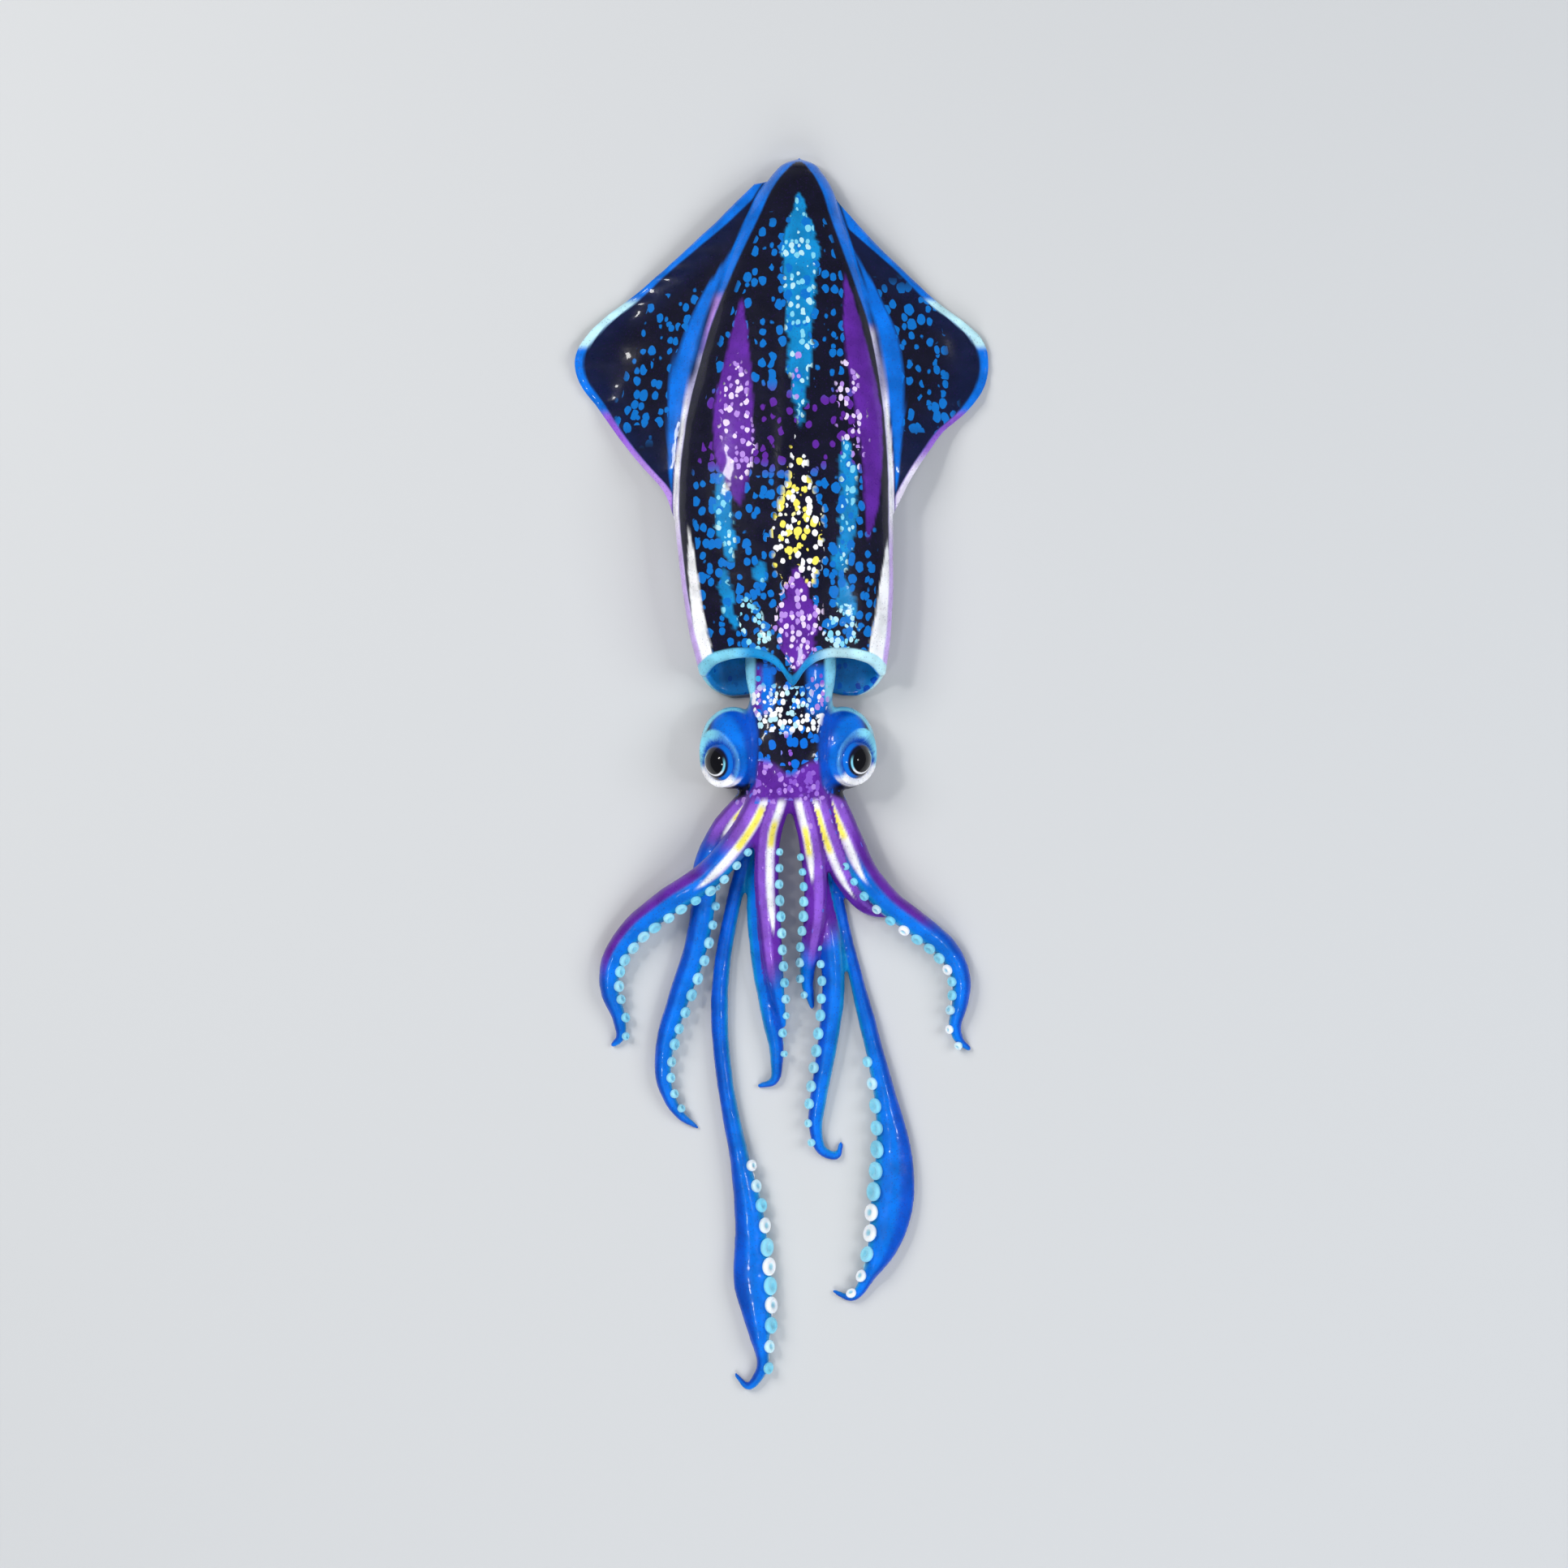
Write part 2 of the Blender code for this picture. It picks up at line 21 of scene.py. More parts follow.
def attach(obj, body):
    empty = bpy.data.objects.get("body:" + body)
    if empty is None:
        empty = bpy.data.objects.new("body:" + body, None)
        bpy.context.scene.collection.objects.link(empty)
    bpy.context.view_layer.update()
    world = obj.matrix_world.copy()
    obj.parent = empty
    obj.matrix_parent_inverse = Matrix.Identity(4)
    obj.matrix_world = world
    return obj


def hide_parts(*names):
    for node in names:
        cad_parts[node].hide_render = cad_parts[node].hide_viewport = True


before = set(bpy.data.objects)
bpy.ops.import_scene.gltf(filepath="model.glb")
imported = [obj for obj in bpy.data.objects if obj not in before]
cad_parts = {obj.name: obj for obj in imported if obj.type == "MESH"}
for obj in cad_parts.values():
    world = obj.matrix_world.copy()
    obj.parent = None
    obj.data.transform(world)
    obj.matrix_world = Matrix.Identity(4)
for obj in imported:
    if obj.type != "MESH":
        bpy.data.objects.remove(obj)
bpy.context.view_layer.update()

logging.basicConfig(level=logging.INFO, format="%(message)s")
log = logging.getLogger("squid")

# Sizes are in millimetres, as in the solids, and MM turns them into the scene's metres.
MM = 0.001
Array = np.ndarray
Stations = tuple[tuple[float, float], ...]
Point = tuple[float, float, float]
Shell = tuple[Array, list[tuple[int, ...]]]


@dataclass(frozen=True)
class Curve:
    """A smooth curve through (place, value) stations that stays level beyond both ends."""

    stations: Stations

    def at(self, place: Array | float) -> Array:
        """The curve's value.

        Args:
            place: where to read it, one number or many.

        Returns:
            The value at each place.
        """
        knots, value = np.array(self.stations, float).T
        slope = np.gradient(value, knots)
        place = np.clip(np.asarray(place, float), knots[0], knots[-1])
        low = np.clip(np.searchsorted(knots, place, side="right") - 1, 0, len(knots) - 2)
        span = knots[low + 1] - knots[low]
        t = (place - knots[low]) / span
        return (
            (1 + 2 * t) * (1 - t) ** 2 * value[low]
            + t * (1 - t) ** 2 * span * slope[low]
            + t * t * (3 - 2 * t) * value[low + 1]
            + t * t * (t - 1) * span * slope[low + 1]
        )


def ease(t: Array | float) -> Array:
    """A smooth step.

    Args:
        t: 0 or less at its start, 1 or more at its end.

    Returns:
        A share from 0 to 1.
    """
    t = np.clip(t, 0, 1)
    return t * t * (3 - 2 * t)


def within(value: Array, low: float, high: float, soft: float) -> Array:
    """A mask of where the value lies between two limits.

    Args:
        value: what is tested.
        low: the lower limit.
        high: the upper limit.
        soft: how wide each edge of the mask is.

    Returns:
        1 inside, 0 outside, and half at a limit.
    """
    return ease((value - low) / soft + 0.5) * ease((high - value) / soft + 0.5)


def blend_up(a: Array, b: Array, reach: float) -> Array:
    """The higher of two heights, rounded where they meet.

    Args:
        a: one height.
        b: the other height.
        reach: how near the two have to be for the rounding to start.

    Returns:
        The blended height.
    """
    near = np.maximum(reach - np.abs(a - b), 0) / max(reach, 1e-6)
    return np.maximum(a, b) + near * near * reach / 4


class Tint(Enum):
    """The colours of the living skin, as linear RGB."""

    BLACK = (0.002, 0.002, 0.004)
    INK = (0.005, 0.005, 0.018)
    NAVY = (0.003, 0.012, 0.070)
    DEEP_BLUE = (0.001, 0.078, 0.520)
    BLUE = (0.001, 0.162, 0.710)
    AZURE = (0.002, 0.172, 0.600)
    TEAL = (0.004, 0.245, 0.580)
    SKY = (0.030, 0.420, 0.800)
    CYAN = (0.230, 0.660, 0.850)
    PALE = (0.500, 0.800, 0.880)
    WHITE = (0.950, 0.955, 0.985)
    DARK_VIOLET = (0.030, 0.004, 0.110)
    VIOLET = (0.120, 0.020, 0.340)
    MAUVE = (0.270, 0.100, 0.620)
    LILAC = (0.480, 0.270, 0.780)
    PEARL = (0.820, 0.680, 0.950)
    GOLD = (0.970, 0.840, 0.130)
    BELLY = (0.340, 0.350, 0.520)


class Layer(Enum):
    """The vertex attributes that the skin shader reads."""

    SKIN = "skin"
    DOT = "dot"
    DOT_COVER = "dot_cover"
    SPECK_ONE = "speck_one"
    SPECK_TWO = "speck_two"
    SPECK_COVER = "speck_cover"


@dataclass(frozen=True)
class Look:
    """What one region of skin shows. What is None stays as it was.

    The dots have a colour and the share of cells that hold one. The specks are finer, lie over
    the dots, and have two colours and their share.
    """

    skin: Tint | None = None
    dots: tuple[Tint, float] | None = None
    specks: tuple[Tint, Tint, float] | None = None

    def colours(self) -> dict[Layer, Array]:
        """The vertex colours that the look sets."""
        given = {Layer.SKIN: self.skin}
        if self.dots is not None:
            given[Layer.DOT] = self.dots[0]
        if self.specks is not None:
            given |= {Layer.SPECK_ONE: self.specks[0], Layer.SPECK_TWO: self.specks[1]}
        return {layer: np.array(tint.value) for layer, tint in given.items() if tint is not None}

    def covers(self) -> dict[Layer, float]:
        """The shares of cells that the look sets."""
        given = {}
        if self.dots is not None:
            given[Layer.DOT_COVER] = self.dots[1]
        if self.specks is not None:
            given[Layer.SPECK_COVER] = self.specks[2]
        return given


def plain(tint: Tint) -> Look:
    """The look of skin without dots or specks.

    Args:
        tint: its colour.

    Returns:
        The look.
    """
    return Look(tint, (tint, 0.0), (tint, tint, 0.0))


@dataclass
class Paint:
    """The colours at each vertex of a mesh, until they are written as its attributes."""

    count: int
    ground: Look
    colours: dict[Layer, Array] = field(init=False)
    covers: dict[Layer, Array] = field(init=False)

    def __post_init__(self) -> None:
        """Starts every vertex with the ground look."""
        self.colours = {k: np.tile(v, (self.count, 1)) for k, v in self.ground.colours().items()}
        self.covers = {k: np.full(self.count, v) for k, v in self.ground.covers().items()}

    def lay(self, mask: Array, look: Look) -> None:
        """Lays a look over what is there.

        Args:
            mask: how strongly, from 0 to 1 at each vertex.
            look: the look.
        """
        for layer, colour in look.colours().items():
            self.colours[layer] += mask[:, None] * (colour - self.colours[layer])
        for layer, cover in look.covers().items():
            self.covers[layer] += mask * (cover - self.covers[layer])

    def write(self, mesh: bpy.types.Mesh) -> None:
        """Stores the colours on a mesh.

        Args:
            mesh: the mesh, with one vertex for each that was painted.
        """
        for layer, colour in self.colours.items():
            stored = mesh.attributes.new(layer.value, "FLOAT_COLOR", "POINT")
            rgba = np.concatenate((colour, np.ones((self.count, 1))), axis=1)
            stored.data.foreach_set("color", rgba.astype(np.float32).ravel())
        for layer, cover in self.covers.items():
            stored = mesh.attributes.new(layer.value, "FLOAT", "POINT")
            stored.data.foreach_set("value", cover.astype(np.float32))


@dataclass(frozen=True)
class Leaf:
    """A long patch of skin: its middle line in x and its half width, both by distance."""

    middle: Curve
    half: Curve
    soft: float = 1.0
    ragged: float = 1.0

    def mask(self, x: Array, distance: Array) -> Array:
        """Where the patch lies.

        Args:
            x: x of each vertex.
            distance: distance of each vertex from the tail tip.

        Returns:
            From 0 to 1 at each vertex.
        """
        start, end = self.half.stations[0][0], self.half.stations[-1][0]
        width = self.half.at(distance)
        waves = np.sin(0.37 * distance + 0.9 * x) + 0.8 * np.sin(0.83 * distance - 0.5 * x + 1.7)
        waves += 0.5 * np.sin(1.9 * distance + 1.3 * x)
        inside = width + 0.5 * self.ragged * waves - np.abs(x - self.middle.at(distance))
        across = ease(inside / self.soft + 0.5)
        return across * ease(width / self.soft) * (distance > start) * (distance < end)


@dataclass(frozen=True)
class Finish:
    """How a surface of the squid shines, scatters light and is spotted.

    Pitches, reaches and depths are in millimetres. The radii of spots and freckles are shares of
    their cell.
    """

    name: str
    roughness: float = 0.32
    coat: float = 0.7
    coat_roughness: float = 0.05
    scatter: float = 0.18
    scatter_depth: float = 2.0
    dot_pitch: float = 3.3
    speck_pitch: float = 2.1
    freckle_pitch: float = 1.0
    freckles: float = 0.28
    mottle: float = 0.20
    wrinkle: float = 0.25
    bend_pitch: float = 3.5
    bend_reach: float = 1.5
    cell_stretch: Point = (1.0, 0.8, 0.6)
    cell_randomness: float = 0.85
    spot_radius: float = 0.34
    spot_spread: float = 0.20
    spot_edge: float = 0.07
    spot_rise: float = 0.25
    freckle_cover: float = 0.6
    freckle_radius: float = 0.34
    freckle_core: float = 0.22
    cloud_pitch: float = 9.0
    film_pitch: float = 6.0
    wrinkle_pitch: float = 1.6
    wrinkle_depth: float = 0.25


MANTLE_FINISH = Finish("mantle_skin")
LIMB_FINISH = Finish("arm_skin", dot_pitch=2.8, speck_pitch=2.0)
SUCKER_FINISH = Finish(
    "sucker_flesh", roughness=0.28, scatter=0.35, scatter_depth=1.2, freckles=0.0, mottle=0.12,
    wrinkle=0.1,
)
EYE_FINISH = Finish(
    "eye", roughness=0.12, coat=1.0, coat_roughness=0.02, scatter=0.0, freckles=0.0, mottle=0.1,
    wrinkle=0.0,
)


@dataclass
class ShaderNodes:
    """Short ways to add shader nodes to one material and to join them."""

    material: bpy.types.Material

    def add(self, kind: str, **settings: object) -> bpy.types.Node:
        """Adds a node.

        Args:
            kind: the node's type, without the leading "ShaderNode".
            settings: its properties.

        Returns:
            The node.
        """
        node = self.material.node_tree.nodes.new("ShaderNode" + kind)
        for name, value in settings.items():
            setattr(node, name, value)
        return node

    def feed(self, socket: bpy.types.NodeSocket, source: object) -> None:
        """Links a socket, or sets its value where the source is a plain value.

        Args:
            socket: the input.
            source: an output socket, a number or a vector.
        """
        if isinstance(source, bpy.types.NodeSocket):
            self.material.node_tree.links.new(source, socket)
        else:
            socket.default_value = source

    def attribute(self, layer: Layer) -> bpy.types.NodeSocket:
        """Reads a vertex attribute.

        Args:
            layer: which one.

        Returns:
            Its value, or its colour.
        """
        node = self.add("Attribute", attribute_name=layer.value)
        return node.outputs["Fac" if layer.value.endswith("cover") else "Color"]

    def maths(self, operation: str, a: object, b: object = 0.0) -> bpy.types.NodeSocket:
        """Does one step of arithmetic.

        Args:
            operation: the operation's name.
            a: its first operand.
            b: its second operand.

        Returns:
            The result.
        """
        node = self.add("Math", operation=operation)
        self.feed(node.inputs[0], a)
        self.feed(node.inputs[1], b)
        return node.outputs[0]

    def steps(
        self, value: object, start: object, end: object, low: float = 0.0, high: float = 1.0
    ) -> bpy.types.NodeSocket:
        """Maps a value to a smooth step.

        Args:
            value: what is mapped.
            start: where the step starts.
            end: where the step ends.
            low: the result at the start.
            high: the result at the end.

        Returns:
            The mapped value.
        """
        node = self.add("MapRange", interpolation_type="SMOOTHSTEP")
        for name, source in zip(
            ("Value", "From Min", "From Max", "To Min", "To Max"), (value, start, end, low, high)
        ):
            self.feed(node.inputs[name], source)
        return node.outputs["Result"]

    def mix(self, share: object, a: object, b: object) -> bpy.types.NodeSocket:
        """Mixes two colours.

        Args:
            share: how much of the second.
            a: the first colour.
            b: the second colour.

        Returns:
            The mixed colour.
        """
        node = self.add("Mix", data_type="RGBA")
        self.feed(node.inputs["Factor"], share)
        self.feed(node.inputs[6], a)
        self.feed(node.inputs[7], b)
        return node.outputs[2]

    def noise(
        self, place: bpy.types.NodeSocket, pitch: float, detail: float = 3.0
    ) -> bpy.types.Node:
        """Adds a noise.

        Args:
            place: where it is read.
            pitch: the size of its features, in millimetres.
            detail: how many finer octaves it has.

        Returns:
            The noise node.
        """
        node = self.add("TexNoise")
        self.feed(node.inputs["Vector"], place)
        node.inputs["Scale"].default_value = 1 / (pitch * MM)
        node.inputs["Detail"].default_value = detail
        return node

    def cells(self, place: bpy.types.NodeSocket, pitch: float) -> bpy.types.Node:
        """Adds a cell pattern.

        Args:
            place: where it is read.
            pitch: the size of a cell, in millimetres.

        Returns:
            The Voronoi node.
        """
        node = self.add("TexVoronoi", feature="F1")
        self.feed(node.inputs["Vector"], place)
        node.inputs["Scale"].default_value = 1 / (pitch * MM)
        return node


@dataclass
class SkinMaterial:
    """The wet skin's shader: painted colours, dots, specks, fine freckles and wrinkles."""

    finish: Finish
    nodes: ShaderNodes = field(init=False)

    def build(self) -> bpy.types.Material:
        """Makes the material.

        Returns:
            The material.
        """
        material = bpy.data.materials.new(self.finish.name)
        material.use_nodes = True
        nodes = self.nodes = ShaderNodes(material)
        shader = material.node_tree.nodes["Principled BSDF"]
        self.set_constants(shader)
        place = nodes.add("TexCoord").outputs["Object"]
        bent = self.bend(place)
        dot, _ = self.spots(bent, self.finish.dot_pitch, Layer.DOT_COVER)
        speck, which = self.spots(bent, self.finish.speck_pitch, Layer.SPECK_COVER)
        speck_colour = nodes.mix(
            which, nodes.attribute(Layer.SPECK_ONE), nodes.attribute(Layer.SPECK_TWO)
        )
        colour = nodes.mix(dot, self.skin_colour(place), nodes.attribute(Layer.DOT))
        colour = nodes.mix(speck, colour, speck_colour)
        nodes.feed(shader.inputs["Base Color"], colour)
        nodes.feed(shader.inputs["Roughness"], self.roughness(place))
        raised = nodes.maths("MAXIMUM", dot, speck)
        nodes.feed(shader.inputs["Normal"], self.relief(place, raised))
        return material

    def set_constants(self, shader: bpy.types.Node) -> None:
        """Sets what doesn't change over the surface.

        Args:
            shader: the Principled BSDF.
        """
        values = {
            "Metallic": 0.0,
            "IOR": 1.38,
            "Specular IOR Level": 0.3,
            "Subsurface Weight": self.finish.scatter,
            "Subsurface Radius": (0.55, 0.75, 1.0),
            "Subsurface Scale": self.finish.scatter_depth * MM,
            "Coat Weight": self.finish.coat,
            "Coat Roughness": self.finish.coat_roughness,
            "Coat IOR": 1.33,
        }
        for name, value in values.items():
            shader.inputs[name].default_value = value

    def bend(self, place: bpy.types.NodeSocket) -> bpy.types.NodeSocket:
        """Bends and stretches the position, so that the spots are uneven and a little long.

        Args:
            place: the position.

        Returns:
            The bent position.
        """
        nodes, finish = self.nodes, self.finish
        shift = nodes.add("VectorMath", operation="MULTIPLY_ADD")
        nodes.feed(shift.inputs[0], nodes.noise(place, finish.bend_pitch, 2.0).outputs["Color"])
        shift.inputs[1].default_value = (finish.bend_reach * MM,) * 3
        nodes.feed(shift.inputs[2], place)
        stretched = nodes.add("Mapping")
        nodes.feed(stretched.inputs["Vector"], shift.outputs[0])
        stretched.inputs["Scale"].default_value = finish.cell_stretch
        return stretched.outputs[0]

    def spots(
        self, place: bpy.types.NodeSocket, pitch: float, cover: Layer
    ) -> tuple[bpy.types.NodeSocket, bpy.types.NodeSocket]:
        """Round spots that sit in some cells of the skin.

        Args:
            place: the bent position.
            pitch: the size of a cell, in millimetres.
            cover: the attribute with the share of cells that hold a spot.

        Returns:
            The spots' mask, and a choice between two colours for each.
        """
        nodes, finish = self.nodes, self.finish
        cell = nodes.cells(place, pitch)
        cell.inputs["Randomness"].default_value = finish.cell_randomness
        draw = nodes.add("SeparateColor")
        nodes.feed(draw.inputs[0], cell.outputs["Color"])
        radius = nodes.maths("MULTIPLY_ADD", draw.outputs["Blue"], finish.spot_spread)
        radius.node.inputs[2].default_value = finish.spot_radius
        outer = nodes.maths("ADD", radius, finish.spot_edge)
        spot = nodes.steps(cell.outputs["Distance"], outer, radius, 0.0, 1.0)
        present = nodes.maths("LESS_THAN", draw.outputs["Red"], nodes.attribute(cover))
        return nodes.maths("MULTIPLY", spot, present), nodes.steps(
            draw.outputs["Green"], 0.47, 0.53
        )

    def skin_colour(self, place: bpy.types.NodeSocket) -> bpy.types.NodeSocket:
        """The painted skin with soft mottling and tiny pigment spots.

        Args:
            place: the position.

        Returns:
            The colour.
        """
        nodes, finish = self.nodes, self.finish
        cloud = nodes.noise(place, finish.cloud_pitch, 4.0).outputs["Fac"]
        bright = nodes.steps(cloud, 0.3, 0.7, 1 - finish.mottle, 1 + finish.mottle)
        scaled = nodes.add("VectorMath", operation="SCALE")
        nodes.feed(scaled.inputs[0], nodes.attribute(Layer.SKIN))
        nodes.feed(scaled.inputs["Scale"], bright)
        if not finish.freckles:
            return scaled.outputs[0]
        dots = nodes.cells(place, finish.freckle_pitch)
        dot = nodes.steps(dots.outputs["Distance"], finish.freckle_radius, finish.freckle_core)
        chosen = nodes.add("SeparateColor")
        nodes.feed(chosen.inputs[0], dots.outputs["Color"])
        present = nodes.maths("LESS_THAN", chosen.outputs["Red"], finish.freckle_cover)
        dot = nodes.maths("MULTIPLY", dot, present)
        dot = nodes.maths("MULTIPLY", dot, finish.freckles)
        return nodes.mix(dot, scaled.outputs[0], (*Tint.DARK_VIOLET.value, 1))

    def roughness(self, place: bpy.types.NodeSocket) -> bpy.types.NodeSocket:
        """The wet film's uneven shine.

        Args:
            place: the position.

        Returns:
            The roughness.
        """
        patch = self.nodes.noise(place, self.finish.film_pitch).outputs["Fac"]
        middle = self.finish.roughness
        return self.nodes.steps(patch, 0.3, 0.7, 0.75 * middle, 1.3 * middle)

    def relief(
        self, place: bpy.types.NodeSocket, spots: bpy.types.NodeSocket
    ) -> bpy.types.NodeSocket:
        """Fine wrinkles, with the spots a little raised.

        Args:
            place: the position.
            spots: the spots' mask.

        Returns:
            The bent normal.
        """
        nodes, finish = self.nodes, self.finish
        fine = nodes.noise(place, finish.wrinkle_pitch).outputs["Fac"]
        raised = nodes.maths("MULTIPLY_ADD", spots, finish.spot_rise)
        nodes.feed(raised.node.inputs[2], fine)
        bump = nodes.add("Bump")
        bump.inputs["Strength"].default_value = finish.wrinkle
        bump.inputs["Distance"].default_value = finish.wrinkle_depth * MM
        nodes.feed(bump.inputs["Height"], raised)
        return bump.outputs["Normal"]


def mesh_object(name: str, points: Array, faces: Sequence[Sequence[int]]) -> bpy.types.Object:
    """Makes a mesh object with outward faces and smooth shading.

    Args:
        name: the object's name.
        points: its vertices, in millimetres.
        faces: its faces, as vertex numbers.

    Returns:
        The object, in the scene.
    """
    mesh = bpy.data.meshes.new(name)
    mesh.from_pydata((points * MM).tolist(), [], faces)
    mesh.update()
    bm = bmesh.new()
    bm.from_mesh(mesh)
    bmesh.ops.recalc_face_normals(bm, faces=bm.faces)
    bm.to_mesh(mesh)
    bm.free()
    mesh.shade_smooth()
    made = bpy.data.objects.new(name, mesh)
    bpy.context.scene.collection.objects.link(made)
    return made


def loft_faces(rings: int, around: int) -> list[tuple[int, ...]]:
    """The faces of a closed loft, whose last two vertices are its end points.

    Args:
        rings: how many rings there are.
        around: how many vertices each ring has.

    Returns:
        Quads between rings, and a fan at each end.
    """
    faces = []
    for i in range(rings - 1):
        for j in range(around):
            k = (j + 1) % around
            faces.append((i * around + j, i * around + k, (i + 1) * around + k,
                          (i + 1) * around + j))
    start, end = rings * around, rings * around + 1
    last = (rings - 1) * around
    for j in range(around):
        k = (j + 1) % around
        faces.append((start, k, j))
        faces.append((end, last + j, last + k))
    return faces


def sphere_shell(place: Matrix, radius: float, segments: int, rings: int) -> Shell:
    """A sphere as a closed shell.

    Args:
        place: where it sits, and how it is turned and stretched.
        radius: its radius before that, in millimetres.
        segments: how many vertices lie round it.
        rings: how many rows of faces lie between its poles.

    Returns:
        The vertices in millimetres and the faces.
    """
    bm = bmesh.new()
    bmesh.ops.create_uvsphere(bm, u_segments=segments, v_segments=rings, radius=radius, matrix=place)
    points = np.array([v.co for v in bm.verts])
    # Blender lists the faces in another order in each run, so they are sorted.
    faces = sorted(tuple(v.index for v in face.verts) for face in bm.faces)
    bm.free()
    return points, faces


def apply_modifiers(made: bpy.types.Object) -> None:
    """Replaces an object's mesh by its evaluated one.

    Args:
        made: the object, which keeps no modifier.
    """
    graph = bpy.context.evaluated_depsgraph_get()
    mesh = bpy.data.meshes.new_from_object(made.evaluated_get(graph))
    made.modifiers.clear()
    made.data = mesh


def vertices_of(mesh: bpy.types.Mesh) -> Array:
    """A mesh's vertices.

    Args:
        mesh: the mesh.

    Returns:
        One row for each vertex, in millimetres.
    """
    flat = np.empty(len(mesh.vertices) * 3, np.float32)
    mesh.vertices.foreach_get("co", flat)
    return flat.reshape(-1, 3).astype(float) / MM


def move_vertices(mesh: bpy.types.Mesh, points: Array) -> None:
    """Sets a mesh's vertices.

    Args:
        mesh: the mesh.
        points: one row for each vertex, in millimetres.
    """
    mesh.vertices.foreach_set("co", (points * MM).astype(np.float32).ravel())
    mesh.update()


def ripple_surface(made: bpy.types.Object, name: str, pitch: float, height: float) -> None:
    """Gives a surface soft bumps, as real geometry.

    Args:
        made: the object.
        name: a name for the pattern.
        pitch: the size of a bump, in millimetres.
        height: how far the surface moves in all, in millimetres.
    """
    texture = bpy.data.textures.new(name, "CLOUDS")
    texture.noise_scale = pitch * MM
    texture.noise_depth = 2
    bumps = made.modifiers.new(name, "DISPLACE")
    bumps.texture = texture
    bumps.strength = height * MM
    bumps.mid_level = 0.5
    apply_modifiers(made)


def dress(made: bpy.types.Object, material: bpy.types.Material, node: str) -> None:
    """Finishes a piece that stands for a solid.

    Args:
        made: the piece.
        material: its material.
        node: the solid that it stands for, or an empty text.
    """
    made.data.materials.clear()
    made.data.materials.append(material)
    if node:
        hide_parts(node)
    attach(made, "root")
    log.info("%s: %d faces", made.name, len(made.data.polygons))


@dataclass(frozen=True)
class Sites:
    """Where each vertex of the mantle's skin lies, in millimetres.

    It holds x, the distance from the tail tip, how far inside the mantle's outline it is, its
    distance out beyond the mantle, and its distance from the fin's edge.
    """

    x: Array
    distance: Array
    inset: Array
    past: Array
    gap: Array


class Face(Enum):
    """The sides of the mantle's skin."""

    BACK = 0
    BELLY = 1
    INSIDE = 2


